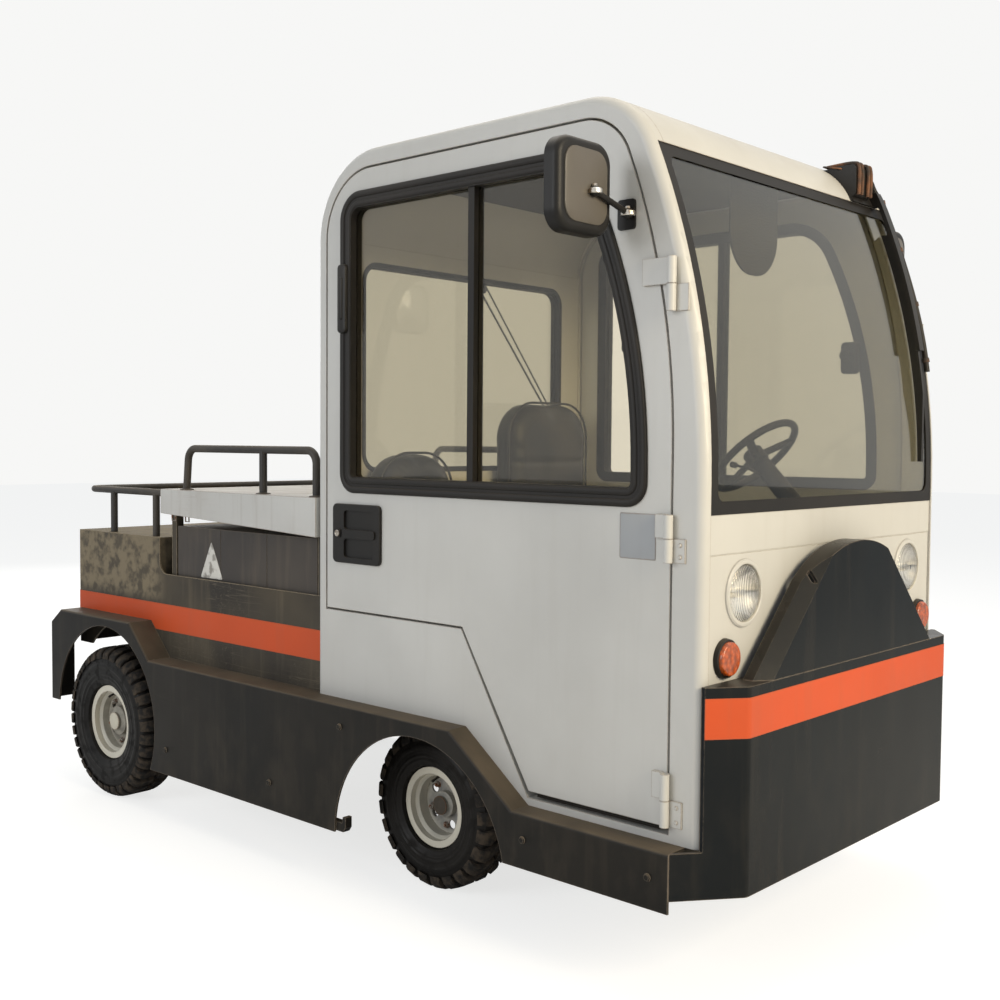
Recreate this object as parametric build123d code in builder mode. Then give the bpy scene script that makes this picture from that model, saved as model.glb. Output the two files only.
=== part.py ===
from build123d import *
from collections import namedtuple
from math import cos, radians, sin, sqrt
import os

# Electric baggage tug with a closed cab, in millimetres.
# +X forward, +Y to the driver's left, +Z up; Z = 0 is the ground and the
# origin is under the middle of the box that holds the whole tug.

os.makedirs("parts", exist_ok=True)

# ---------------------------------------------------------------- overall
body_length = 2930.0        # bumper face to the ends of the rear fenders
body_width = 1360.0         # over the two skirts
coupling_reach = 130.0      # tow coupling behind the fenders
cab_length = 1360.0
cab_width = 1228.0
cab_height = 2115.0         # ground to the top of the roof
bumper_depth = 75.0         # bumper face ahead of the cab front
wheelbase = 1500.0
front_axle_setback = 985.0  # cab front to the front axle

# ---------------------------------------------------------------- levels
ground_gap = 160.0          # under the skirts
bumper_gap = 256.0          # under the bumper
door_skirt_gap = 226.0      # under the skirt below the door
sill_z = 365.0              # underside of the cab at the doors
ledge_z = 532.0             # top of the skirts
fender_z = 650.0            # top of the rear fenders
bumper_top_z = 740.0
deck_z = 820.0              # low part of the rear body, beside the battery
rear_deck_z = 945.0
belt_z = 1125.0             # lower edge of the windscreen
seat_box_z = 770.0
cover_z = 1117.0            # top of the battery cover

# ---------------------------------------------------------------- sheet and tube
sheet = 6.0                 # skirts and rear body
bumper_sheet = 8.0
floor_sheet = 8.0
cover_sheet = 4.0
cab_wall = 50.0             # depth of the cab sides
door_depth = 40.0
door_gap = 6.0
glass = 6.0
rail_tube = 25.0
fit = 0.2                   # glass in rubber
running = 0.05              # radial clearance of pins and spindles

# ---------------------------------------------------------------- wheels
front_tyre_d = 470.0
front_tyre_w = 134.0
front_track = 890.0
rear_tyre_d = 540.0
rear_tyre_w = 160.0
rear_track = 1180.0

# ---------------------------------------------------------------- worked out
front_x = (body_length + coupling_reach) / 2
rear_x = front_x - body_length
cab_front = front_x - bumper_depth
cab_rear = cab_front - cab_length
front_axle_x = cab_front - front_axle_setback
rear_axle_x = front_axle_x - wheelbase
front_axle_z = front_tyre_d / 2
rear_axle_z = rear_tyre_d / 2
body_half = body_width / 2
cab_half = cab_width / 2
cab_inner = cab_half - cab_wall
rear_body_half = cab_half - 28.0
rear_body_x = rear_x + 50.0         # rear plate of the upper body
rear_body_front = cab_rear - 5.0


def save(piece, name):
    """Label a finished piece and write it as its own node."""
    piece.part.label = name
    export_step(piece.part, f"parts/{name}.step")


def save_pair(right_piece, name):
    """Write a right-hand piece and its mirror image as two nodes."""
    save(right_piece, f"{name}_right")
    with BuildPart() as left_piece:
        mirror(right_piece.part, about=Plane.XZ)
    save(left_piece, f"{name}_left")


# ---------------------------------------------------------------- side outlines
# An outline rises straight, bends back with the windscreen, turns over the
# roof corner and comes down the rear.
Outline = namedtuple("Outline", "front bend_z bend_r top corner_r rear rear_r bottom")

pillar_width = 85.0         # front pillar, seen from the side
roof_rail = 53.0
rear_pillar = 43.0
door_bottom_z = sill_z + 19.0
window_margin = 72.0        # doorway edge to the window rubber, at the front

cab_side = Outline(front=cab_front, bend_z=1200.0, bend_r=2005.0, top=cab_height, corner_r=215.0,
                   rear=cab_rear, rear_r=245.0, bottom=sill_z)
doorway = Outline(front=cab_front - pillar_width, bend_z=1280.0, bend_r=1830.0,
                  top=cab_height - roof_rail, corner_r=150.0,
                  rear=cab_rear + rear_pillar, rear_r=190.0, bottom=door_bottom_z)
door_window = Outline(front=doorway.front - window_margin, bend_z=1230.0, bend_r=1484.0,
                      top=doorway.top - 66.0, corner_r=190.0,
                      rear=doorway.rear + 68.0, rear_r=80.0, bottom=belt_z + 12.0)
window_foot_r = 58.0        # lower corners of the door window


def outline_face(o, inset=0.0, foot_r=0.0):
    """Face inside a side outline, moved inwards by inset all round."""
    front, rear = o.front - inset, o.rear + inset
    top, bottom = o.top - inset, o.bottom + inset
    bend_r, corner_r, rear_r = o.bend_r - inset, o.corner_r - inset, o.rear_r - inset
    rise = top - corner_r - o.bend_z
    run = sqrt((bend_r - corner_r) ** 2 - rise ** 2)
    reach = bend_r / (bend_r - corner_r)
    bend_x = front - bend_r
    with BuildSketch() as face:
        with BuildLine():
            post = Line((front, bottom), (front, o.bend_z))
            bend = TangentArc(post @ 1, (bend_x + run * reach, o.bend_z + rise * reach),
                              tangent=post % 1)
            crown = TangentArc(bend @ 1, (bend_x + run, top), tangent=bend % 1)
            roof_line = Line(crown @ 1, (rear + rear_r, top))
            corner = TangentArc(roof_line @ 1, (rear, top - rear_r), tangent=roof_line % 1)
            Polyline(corner @ 1, (rear, bottom), post @ 0)
        make_face()
        if foot_r:
            fillet(face.vertices().group_by(Axis.Y)[0], foot_r - inset)
    return face.sketch


def front_at(o, z):
    """X of an outline's front edge at a height above its bend."""
    return o.front - o.bend_r + sqrt(o.bend_r ** 2 - max(z - o.bend_z, 0) ** 2)


def crown_x(o):
    """X of the centre that the front roof corner turns about, in whole millimetres."""
    rise = o.top - o.corner_r - o.bend_z
    return round(o.front - o.bend_r + sqrt((o.bend_r - o.corner_r) ** 2 - rise ** 2))


def outline_band(o, outer, inner, low, high, back):
    """Front part of the strip between two insets of an outline, from low to high."""
    with BuildSketch() as band:
        add(outline_face(o, outer))
        add(outline_face(o, inner), mode=Mode.SUBTRACT)
        with BuildLine():
            Polyline((back, low), (o.front + 10, low), (o.front + 10, high), (back, high), close=True)
        make_face(mode=Mode.INTERSECT)
    return band.sketch


# ---------------------------------------------------------------- cab sides
step_front = cab_front - 515.0      # where the sill starts to climb to the ledge
step_rear = cab_front - 738.0
seam_z = ledge_z + 258.0             # door seam above the wheel box
seam_front = cab_front - 757.0
seam_foot = cab_front - 517.0
screen_top_z = cab_height - 130.0
band_back = cab_front - 400.0       # outline bands along the front end here
rabbet = 14.0                       # windscreen and front panel set into the pillars
rim_wall = 26.0                     # pillar left outside the rabbet
edge_round = 24.0
front_face = cab_front - rabbet


def seam_face(inset=0.0):
    """What lies below the door's lower rear seam."""
    foot = seam_foot + inset * 1.7
    with BuildSketch() as face:
        with BuildLine():
            Polyline((cab_rear - 50, seam_z + inset), (seam_front + inset * 0.6, seam_z + inset),
                     (foot, door_bottom_z + inset), (foot, ground_gap), (cab_rear - 50, ground_gap),
                     close=True)
        make_face()
    return face.sketch


def doorway_face(inset=0.0):
    """Doorway, or the door when inset by its gap."""
    with BuildSketch() as face:
        add(outline_face(doorway, inset))
        add(seam_face(inset), mode=Mode.SUBTRACT)
    return face.sketch


def under_sill_face():
    """What lies below the cab side, behind the step in the sill."""
    with BuildSketch() as face:
        with BuildLine():
            Polyline((step_front, sill_z), (step_rear, ledge_z), (cab_rear - 1, ledge_z),
                     (cab_rear - 1, sill_z - 1), (step_front, sill_z - 1), close=True)
        make_face()
    return face.sketch


# Hinges: three lift-off hinges on one upright line outside the skin.
hinge_x = doorway.front - 3.0
pad_w = 28.0                # pad between a hinge leaf and the door skin
hinge_y = cab_half + 14.0
hinge_r = 11.0
hinge_pin_r = 6.0
leaf_t = 5.0
leaf_gap = 5.0              # door leaf clear of the pillar it crosses
knuckle_gap = 1.0           # between the two halves of a hinge
fixed_leaf = 40.0           # fixed leaf ahead of the pin
leaf_on = 22.0              # fixed leaf on the pillar, at least
Hinge = namedtuple("Hinge", "low high past")     # past: pad behind the door's edge
hinges = [Hinge(low=sill_z + 40.0, high=sill_z + 164.0, past=9.0),
          Hinge(low=belt_z - 110.0, high=belt_z, past=9.0),
          Hinge(low=cab_height - 529.0, high=cab_height - 406.0, past=3.0)]


def leaf_rear(hinge):
    """Rear end of the fixed leaf, on the pillar where it leans back."""
    return min(hinge_x, front_at(cab_side, hinge.high) - leaf_on)


def leaf_length(hinge):
    """Length of a door leaf whose pad ends on the door, behind its leaning edge."""
    return hinge_x - round(front_at(doorway, hinge.high)) + door_gap + pad_w + hinge.past


with BuildPart() as cab_side_right:
    with BuildSketch(Plane.XZ.offset(cab_half)):
        add(outline_face(cab_side))
        add(under_sill_face(), mode=Mode.SUBTRACT)
    extrude(amount=-cab_wall)
    skin_edges = cab_side_right.edges().filter_by_position(Axis.Y, -cab_half, -cab_half)
    fillet(skin_edges.filter_by_position(Axis.Z, ledge_z + 1, cab_height), edge_round)
    with BuildSketch(Plane.XZ.offset(cab_half)):
        add(doorway_face())
    extrude(amount=-cab_wall, mode=Mode.SUBTRACT)
    with BuildSketch(Plane.XZ.offset(cab_half - rim_wall)):
        add(outline_band(cab_side, 0.0, rabbet, sill_z, screen_top_z, band_back))
    extrude(amount=-(cab_wall - rim_wall), mode=Mode.SUBTRACT)
    for hinge in hinges:
        middle = (hinge.low + hinge.high) / 2
        with BuildSketch(Plane.XY.offset(hinge.low)):
            with Locations((hinge_x, -hinge_y)):
                Circle(hinge_r)
            with Locations((hinge_x + fixed_leaf, -cab_half)):
                Rectangle(hinge_x + fixed_leaf - leaf_rear(hinge), leaf_t, align=(Align.MAX, Align.MAX))
        extrude(amount=middle - hinge.low - knuckle_gap / 2)
        with BuildSketch(Plane.XY.offset(hinge.low)):
            with Locations((hinge_x, -hinge_y)):
                Circle(hinge_pin_r)
        extrude(amount=hinge.high - hinge.low - 3)
save_pair(cab_side_right, "cab_side")

# ---------------------------------------------------------------- roof and rear wall
roof_wall = 35.0
rear_wall = 40.0
roof_rear_z = cab_height - 235.0
rear_window_half = 470.0
rear_window_low = belt_z + 65.0
rear_window_high = roof_rear_z - 50.0
rear_window_r = 60.0
rubber = 16.0               # rubber face round the fixed windows

with BuildPart() as roof:
    with BuildSketch(Plane.XZ.offset(cab_inner)):
        add(outline_face(cab_side))
        add(outline_face(cab_side, roof_wall), mode=Mode.SUBTRACT)
        with BuildLine():
            Polyline((cab_rear - 1, roof_rear_z), (cab_rear + 300, roof_rear_z),
                     (cab_front - 300, screen_top_z),
                     (cab_front, screen_top_z), (cab_front, cab_height + 1), (cab_rear - 1,
                                                                              cab_height + 1),
                     close=True)
        make_face(mode=Mode.INTERSECT)
    extrude(amount=-2 * cab_inner)
save(roof, "roof")


def window_face(half, low, high, radius):
    """Rounded rectangle of a window, seen along X."""
    with BuildSketch() as face:
        with Locations((0, (low + high) / 2)):
            RectangleRounded(2 * half, high - low, radius)
    return face.sketch


with BuildPart() as cab_rear_wall:
    with BuildSketch(Plane.XZ.offset(cab_inner)):
        with BuildLine():
            Polyline((cab_rear, ledge_z), (cab_rear + rear_wall, ledge_z),
                     (cab_rear + rear_wall, roof_rear_z),
                     (cab_rear, roof_rear_z), close=True)
        make_face()
    extrude(amount=-2 * cab_inner)
    with BuildSketch(Plane.YZ.offset(cab_rear)):
        add(window_face(rear_window_half, rear_window_low, rear_window_high, rear_window_r))
    extrude(amount=rear_wall, mode=Mode.SUBTRACT)
save(cab_rear_wall, "cab_rear_wall")

# ---------------------------------------------------------------- fixed glass and its rubber
screen_half = cab_half - rim_wall - 1.0
screen_rubber = 30.0
screen_low = belt_z
rubber_t = rabbet - 2.0
lip = 10.0                  # glass edge held in the rubber

with BuildPart() as cab_glass:
    with BuildSketch(Plane.XZ.offset(screen_half - screen_rubber + lip)):
        add(outline_band(cab_side, 5.0, 5.0 + glass, screen_low + screen_rubber - lip,
                         screen_top_z - screen_rubber + lip, band_back))
    extrude(amount=-2 * (screen_half - screen_rubber + lip))
    with BuildSketch(Plane.YZ.offset(cab_rear + rear_wall / 2 - glass / 2)):
        add(window_face(rear_window_half - rubber + lip, rear_window_low + rubber - lip,
                        rear_window_high - rubber + lip, rear_window_r - rubber + lip))
    extrude(amount=glass)
save(cab_glass, "cab_glass")

with BuildPart() as cab_rubber:
    with BuildSketch(Plane.XZ.offset(screen_half)):
        add(outline_band(cab_side, 2.0, rabbet - fit, screen_low + fit, screen_top_z - fit, band_back))
    extrude(amount=-2 * screen_half)
    with BuildSketch(Plane.YZ.offset(band_back)):
        add(window_face(screen_half - screen_rubber, screen_low + screen_rubber,
                        screen_top_z - screen_rubber, 25.0))
    extrude(amount=500, mode=Mode.SUBTRACT)
    with BuildSketch(Plane.XZ.offset(screen_half - screen_rubber + lip + fit)):
        add(outline_band(cab_side, 5.0 - fit, 5.0 + glass + fit, screen_low + screen_rubber - lip - fit,
                         screen_top_z - screen_rubber + lip + fit, band_back))
    extrude(amount=-2 * (screen_half - screen_rubber + lip + fit), mode=Mode.SUBTRACT)
    with BuildSketch(Plane.YZ.offset(cab_rear)):
        add(window_face(rear_window_half, rear_window_low, rear_window_high, rear_window_r))
        add(window_face(rear_window_half - rubber, rear_window_low + rubber,
                        rear_window_high - rubber, rear_window_r - rubber), mode=Mode.SUBTRACT)
    extrude(amount=rear_wall)
    with BuildSketch(Plane.YZ.offset(cab_rear + rear_wall / 2 - glass / 2 - fit)):
        add(window_face(rear_window_half - rubber + lip + fit, rear_window_low + rubber - lip - fit,
                        rear_window_high - rubber + lip + fit, rear_window_r - rubber + lip))
    extrude(amount=glass + 2 * fit, mode=Mode.SUBTRACT)
save(cab_rubber, "cab_rubber")

# ---------------------------------------------------------------- front panel and lamps
front_sheet = 10.0
seam_w = 3.0                # joints between panels
seam_d = 2.0
front_wall = 40.0
panel_seam_z = belt_z - 92.0
lamp_y = cab_half - 176.0
lamp_z = belt_z - 187.0
lamp_r = 73.0
signal_y = cab_half - 96.0
signal_z = bumper_top_z + 53.0
signal_r = 42.0

with BuildPart() as front_panel:
    with Locations((front_face, 0, sill_z)):
        Box(front_sheet, 2 * screen_half, belt_z - sill_z, align=(Align.MIN, Align.CENTER, Align.MIN))
    with Locations((front_face, 0, sill_z)):
        Box(front_wall - front_sheet, 2 * cab_inner, belt_z - sill_z,
            align=(Align.MAX, Align.CENTER, Align.MIN))
    with BuildSketch(Plane.YZ.offset(front_face - 20)):
        with Locations((lamp_y, lamp_z), (-lamp_y, lamp_z)):
            Circle(lamp_r + 3)
        with Locations((signal_y, signal_z), (-signal_y, signal_z)):
            Circle(signal_r - 6)
    extrude(amount=40, mode=Mode.SUBTRACT)
    with BuildSketch(Plane.YZ.offset(front_face + front_sheet)):
        with Locations((0, panel_seam_z)):
            Rectangle(2 * screen_half, seam_w)
        with Locations((screen_half, panel_seam_z), (-screen_half, panel_seam_z)):
            Rectangle(3 * seam_w, panel_seam_z - sill_z, align=(Align.CENTER, Align.MAX))
    extrude(amount=-seam_d, mode=Mode.SUBTRACT)
save(front_panel, "front_panel")

lens_bulge = 15.0
lamp_seat = 30.0            # lamp body behind the front panel's face
bezel_in = 4.0
bezel_t = 7.0
with BuildPart() as headlamps:
    for y in (-lamp_y, lamp_y):
        with BuildSketch(Plane(origin=(front_face + front_sheet - lamp_seat, y, lamp_z),
                               x_dir=(1, 0, 0), z_dir=(0, -1, 0))):
            with BuildLine():
                lens = TangentArc((lamp_seat + lens_bulge, 0), (lamp_seat, lamp_r), tangent=(0, 1))
                Polyline(lens @ 1, (0, lamp_r), (0, 0), lens @ 0)
            make_face()
            with BuildLine():
                Polyline((lamp_seat, lamp_r - bezel_in), (lamp_seat + bezel_t, lamp_r - bezel_in),
                         (lamp_seat + bezel_t, lamp_r + bezel_in), (lamp_seat,
                                                                    lamp_r + 2 * bezel_in), close=True)
            make_face()
        revolve(axis=Axis(origin=(0, y, lamp_z), direction=(1, 0, 0)))
save(headlamps, "headlamps")

with BuildPart() as turn_signals:
    with BuildSketch(Plane.YZ.offset(front_face + front_sheet)):
        with Locations((signal_y, signal_z), (-signal_y, signal_z)):
            Circle(signal_r)
    extrude(amount=22, taper=8)
    fillet(turn_signals.faces().group_by(Axis.X)[-1].edges(), 5)
    with BuildSketch(Plane.YZ.offset(front_face + front_sheet)):
        with Locations((signal_y, signal_z), (-signal_y, signal_z)):
            Circle(signal_r - 6)
    extrude(amount=-30)
save(turn_signals, "turn_signals")

# ---------------------------------------------------------------- floor, seat box, dash
seat_box_front = front_axle_x + 300.0
floor_front = front_face - front_wall + front_sheet

with BuildPart() as cab_floor:
    with BuildSketch(Plane.XZ.offset(cab_inner)):
        with BuildLine():
            Polyline((floor_front, sill_z), (floor_front, sill_z + floor_sheet),
                     (seat_box_front + floor_sheet, sill_z + floor_sheet),
                     (seat_box_front + floor_sheet, seat_box_z), (cab_rear + rear_wall, seat_box_z),
                     (cab_rear + rear_wall, seat_box_z - floor_sheet),
                     (seat_box_front, seat_box_z - floor_sheet), (seat_box_front, sill_z), close=True)
        make_face()
    extrude(amount=-2 * cab_inner)
save(cab_floor, "cab_floor")

driver_y = 310.0
wheel_hub_x = cab_front - 430.0
wheel_hub_z = belt_z + 125.0
wheel_tilt = 44.0           # steering wheel plane from level
column_r = 28.0
shaft_r = 10.0
steering_r = 155.0          # outside of the rim
grip_r = 11.0
spoke_w = 24.0
boss_r = 32.0
column_plane = Plane(origin=(wheel_hub_x, driver_y, wheel_hub_z), x_dir=(0, 1, 0),
                     z_dir=(-sin(radians(wheel_tilt)), 0, cos(radians(wheel_tilt))))
column_gap = 34.0           # column top below the steering wheel's centre
column_len = 250.0
dash_top_z = belt_z - 5.0
dash_brow = (floor_front - 250.0, belt_z - 35.0)
dash_edge = (floor_front - 290.0, belt_z - 75.0)
dash_chin = (floor_front - 250.0, belt_z - 165.0)
dash_knee = (floor_front - 110.0, belt_z - 305.0)
dash_foot_z = belt_z - 365.0

with BuildPart() as dash:
    with BuildSketch(Plane.XZ.offset(cab_inner)):
        with BuildLine():
            Polyline((floor_front, dash_top_z), dash_brow, dash_edge, dash_chin, dash_knee,
                     (floor_front, dash_foot_z), close=True)
        make_face()
    extrude(amount=-2 * cab_inner)
    with BuildSketch(column_plane.offset(-column_gap)):
        Circle(column_r)
    extrude(amount=-column_len)
    with BuildSketch(column_plane.offset(-column_gap)):
        Circle(shaft_r)
    extrude(amount=column_gap + 4)
save(dash, "dash")

with BuildPart() as steering_wheel:
    with BuildSketch(Plane(origin=column_plane.origin, x_dir=column_plane.x_dir,
                           z_dir=(cos(radians(wheel_tilt)), 0, sin(radians(wheel_tilt))))):
        with Locations((steering_r - grip_r, 0)):
            Circle(grip_r)
    revolve(axis=Axis(origin=column_plane.origin, direction=column_plane.z_dir))
    with BuildSketch(column_plane.offset(-24)):
        Circle(boss_r)
        Circle(shaft_r + running, mode=Mode.SUBTRACT)
    extrude(amount=30)
    with BuildSketch(column_plane.offset(6)):
        Circle(boss_r)
    extrude(amount=8)
    with BuildSketch(column_plane.offset(-8)):
        with PolarLocations((steering_r - grip_r + boss_r - 4) / 2, 3, start_angle=90):
            Rectangle(steering_r - grip_r - boss_r + 4, spoke_w)
    extrude(amount=12)
save(steering_wheel, "steering_wheel")

# ---------------------------------------------------------------- seats
Seat = namedtuple("Seat", "y cushion_w back_w back_top")
seats = [Seat(y=driver_y - 10, cushion_w=470.0, back_w=430.0, back_top=seat_box_z + 661.0),
         Seat(y=-driver_y - 15, cushion_w=440.0, back_w=330.0, back_top=seat_box_z + 492.0)]
cushion_t = 120.0
cushion_len = 450.0
backrest_t = 100.0
backrest_rear = cab_rear + rear_wall + 15.0

with BuildPart() as seat_cushions:
    for seat in seats:
        with BuildSketch(Plane.XY.offset(seat_box_z)):
            with Locations((backrest_rear + backrest_t + 12 + cushion_len / 2, seat.y)):
                RectangleRounded(cushion_len, seat.cushion_w, 60)
        extrude(amount=cushion_t)
save(seat_cushions, "seat_cushions")

with BuildPart() as seat_backs:
    for seat in seats:
        with BuildSketch(Plane.YZ.offset(backrest_rear)):
            with Locations((seat.y, (seat_box_z + seat.back_top) / 2)):
                RectangleRounded(seat.back_w, seat.back_top - seat_box_z, 90)
        extrude(amount=backrest_t)
save(seat_backs, "seat_backs")

# ---------------------------------------------------------------- sun visor
visor_y = driver_y - 300.0
visor_x = crown_x(cab_side) + 88.0
visor_w = 240.0
visor_low = cab_height - 370.0
with BuildPart() as sun_visor:
    with BuildSketch(Plane.YZ.offset(visor_x)):
        with Locations((visor_y, visor_low)):
            RectangleRounded(visor_w, 2 * visor_w, visor_w / 2 - 10, align=(Align.CENTER, Align.MIN))
    extrude(amount=6)
    with BuildSketch(Plane.XZ.offset(cab_inner)):
        add(outline_face(cab_side, roof_wall))
    extrude(amount=-2 * cab_inner, mode=Mode.INTERSECT)
save(sun_visor, "sun_visor")

# ---------------------------------------------------------------- doors
window_rubber = 46.0        # face of the door rubber
strip_back = 8.0            # sealing strip under the door, behind its skin
strip_t = 20.0
rubber_seat = 12.0          # rubber lip beyond the hole in the door
rubber_proud = 5.0
sill_gap = 18.0             # door clear of the sill
divider_x = cab_front - 730.0
divider_w = 22.0

with BuildPart() as door_right:
    with BuildSketch(Plane.XZ.offset(cab_half)):
        add(doorway_face(door_gap))
        add(outline_face(door_window, rubber_seat, window_foot_r), mode=Mode.SUBTRACT)
        with Locations((seam_foot, door_bottom_z)):
            Rectangle(2 * (doorway.front - seam_foot), 2 * sill_gap, mode=Mode.SUBTRACT)
    extrude(amount=-door_depth)
    for hinge in hinges:
        middle = (hinge.low + hinge.high) / 2
        with BuildSketch(Plane.XY.offset(middle + knuckle_gap / 2)):
            with Locations((hinge_x, -hinge_y)):
                Circle(hinge_r)
            with Locations((hinge_x, -cab_half - leaf_gap - leaf_t / 2)):
                Rectangle(leaf_length(hinge), leaf_t, align=(Align.MAX, Align.CENTER))
            with Locations((hinge_x - leaf_length(hinge), -cab_half)):
                Rectangle(pad_w, leaf_gap, align=(Align.MIN, Align.MAX))
            with Locations((hinge_x, -hinge_y)):
                Circle(hinge_pin_r + running, mode=Mode.SUBTRACT)
        extrude(amount=hinge.high - middle - knuckle_gap / 2)
save_pair(door_right, "door")

with BuildPart() as door_rubber_right:
    with BuildSketch(Plane.XZ.offset(cab_half + rubber_proud)):
        add(outline_face(door_window, 0.0, window_foot_r))
        add(outline_face(door_window, window_rubber, window_foot_r), mode=Mode.SUBTRACT)
    extrude(amount=-rubber_proud)
    with BuildSketch(Plane.XZ.offset(cab_half)):
        add(outline_face(door_window, rubber_seat + fit, window_foot_r))
        add(outline_face(door_window, window_rubber, window_foot_r), mode=Mode.SUBTRACT)
        with BuildLine():
            Polyline((divider_x - divider_w / 2, door_window.bottom + window_rubber - 2),
                     (divider_x + divider_w / 2, door_window.bottom + window_rubber - 2),
                     (divider_x + divider_w / 2, door_window.top - window_rubber + 2),
                     (divider_x - divider_w / 2, door_window.top - window_rubber + 2), close=True)
        make_face()
    extrude(amount=-door_depth)
    with BuildSketch(Plane.XZ.offset(cab_half - door_depth / 2 + glass / 2 + fit)):
        add(outline_face(door_window, window_rubber - lip - fit, window_foot_r))
    extrude(amount=-(glass + 2 * fit), mode=Mode.SUBTRACT)
    with BuildSketch(Plane.XZ.offset(cab_half - strip_back)):
        with BuildLine():
            Polyline((seam_foot + 26, door_bottom_z + door_gap),
                     (doorway.front - 30, door_bottom_z + door_gap),
                     (doorway.front - 30, door_bottom_z + sill_gap), (seam_foot + 26,
                                                                      door_bottom_z + sill_gap),
                     close=True)
        make_face()
    extrude(amount=-strip_t)
save_pair(door_rubber_right, "door_rubber")

with BuildPart() as door_glass_right:
    with BuildSketch(Plane.XZ.offset(cab_half - door_depth / 2 + glass / 2)):
        add(outline_face(door_window, window_rubber - lip, window_foot_r))
    extrude(amount=-glass)
save_pair(door_glass_right, "door_glass")

handle_x = cab_rear + 186.0
handle_z = belt_z - 106.0
handle_w = 204.0
handle_h = 172.0
handle_t = 10.0
pocket_t = 7.0
with BuildPart() as door_handle_right:
    with BuildSketch(Plane.XZ.offset(cab_half)):
        with Locations((handle_x, handle_z)):
            RectangleRounded(handle_w, handle_h, 16)
    extrude(amount=handle_t)
    fillet(door_handle_right.faces().sort_by(Axis.Y)[0].edges(), 3)
    with BuildSketch(Plane.XZ.offset(cab_half + handle_t)):
        with Locations((handle_x + 12, handle_z + 40), (handle_x + 12, handle_z - 42)):
            RectangleRounded(128, 54, 10)
    extrude(amount=-pocket_t, mode=Mode.SUBTRACT)
    with BuildSketch(Plane.XZ.offset(cab_half + handle_t)):
        with Locations((handle_x + 14, handle_z)):
            RectangleRounded(140, 24, 8)
        with Locations((handle_x - handle_w / 2 + 28, handle_z)):
            Circle(13)
    extrude(amount=4)
save_pair(door_handle_right, "door_handle")

mirror_x = cab_front - 232.0
mirror_z = cab_height - 255.0
mirror_out = cab_half + 159.0
mirror_w = 196.0
mirror_h = 212.0
mirror_t = 40.0
ball_r = 13.0
arm_x = mirror_x + 20.0
ball_in = (arm_x, -cab_half - 14, mirror_z - 42)
ball_out = (arm_x, -mirror_out + 20, mirror_z - 10)
with BuildPart() as mirror_right:
    with BuildSketch(Plane.YZ.offset(mirror_x + 10 - mirror_t)):
        with Locations((-mirror_out, mirror_z)):
            RectangleRounded(mirror_w, mirror_h, 50)
    extrude(amount=mirror_t)
    fillet(mirror_right.faces().sort_by(Axis.X)[-1].edges(), 16)
    with BuildSketch(Plane.YZ.offset(mirror_x + 10 - mirror_t)):
        with Locations((-mirror_out, mirror_z)):
            RectangleRounded(mirror_w - 16, mirror_h - 16, 42)
    extrude(amount=4, mode=Mode.SUBTRACT)
    with BuildLine():
        Line(ball_in, ball_out)
    with BuildSketch(Plane(origin=ball_in, z_dir=(0, cab_half + 34 - mirror_out, 32))):
        Circle(7)
    sweep()
    with Locations(ball_in, ball_out):
        Sphere(ball_r)
    with BuildSketch(Plane.XZ.offset(cab_half)):
        with Locations((mirror_x + 8, mirror_z - 42)):
            RectangleRounded(50, 70, 8)
    extrude(amount=6)
save_pair(mirror_right, "mirror")

# ---------------------------------------------------------------- skirts
front_arch_x = front_axle_x + 118.0
front_arch_z = 159.0
front_arch_r = 331.0
rear_arch_x = rear_axle_x + 15.0
rear_arch_z = rear_axle_z + 25.0
wheel_house_in = rear_track / 2 - rear_tyre_w / 2 - 35.0
rear_arch_r = 325.0
fender_front = rear_arch_x + 160.0
fender_foot = rear_arch_x + 280.0
skirt_front = cab_front - 40.0
hook_x = front_arch_x - 290.0       # foot bracket behind the front wheel
hook_low = ground_gap + 4.0
hook_high = ground_gap + 48.0
bracket_top = ground_gap + 30.0
bracket_w = 24.0
flange_in = body_half - rear_body_half - 2.0
skirt_bend = 9.0            # outer fold along the top


def skirt_face(inset=0.0):
    """Side view of a skirt with its rear fender, arches open."""
    with BuildSketch() as face:
        with BuildLine():
            Polyline((skirt_front, ground_gap), (skirt_front, sill_z - inset),
                     (step_front - inset / 2, sill_z - inset),
                     (step_rear - inset / 2, ledge_z - inset), (fender_foot + inset / 2,
                                                                ledge_z - inset),
                     (fender_front + inset / 2, fender_z - inset), (rear_x + 70 + inset / 2,
                                                                    fender_z - inset),
                     (rear_x + inset, fender_z - 50), (rear_x + inset, ground_gap), close=True)
        make_face()
    return face.sketch


def arch_face():
    """Wheel openings and the open stretches under a skirt."""
    with BuildSketch() as face:
        with Locations((front_arch_x, front_arch_z)):
            Circle(front_arch_r)
        with Locations((rear_arch_x, rear_arch_z)):
            Circle(rear_arch_r)
        with Locations((front_arch_x, door_skirt_gap)):
            Rectangle(skirt_front - front_arch_x + 1, 200, align=(Align.MIN, Align.MAX))
        with Locations((rear_arch_x, rear_arch_z + 14)):
            Rectangle(rear_arch_x - rear_x + 1, 300, align=(Align.MAX, Align.MAX))
    return face.sketch


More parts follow.
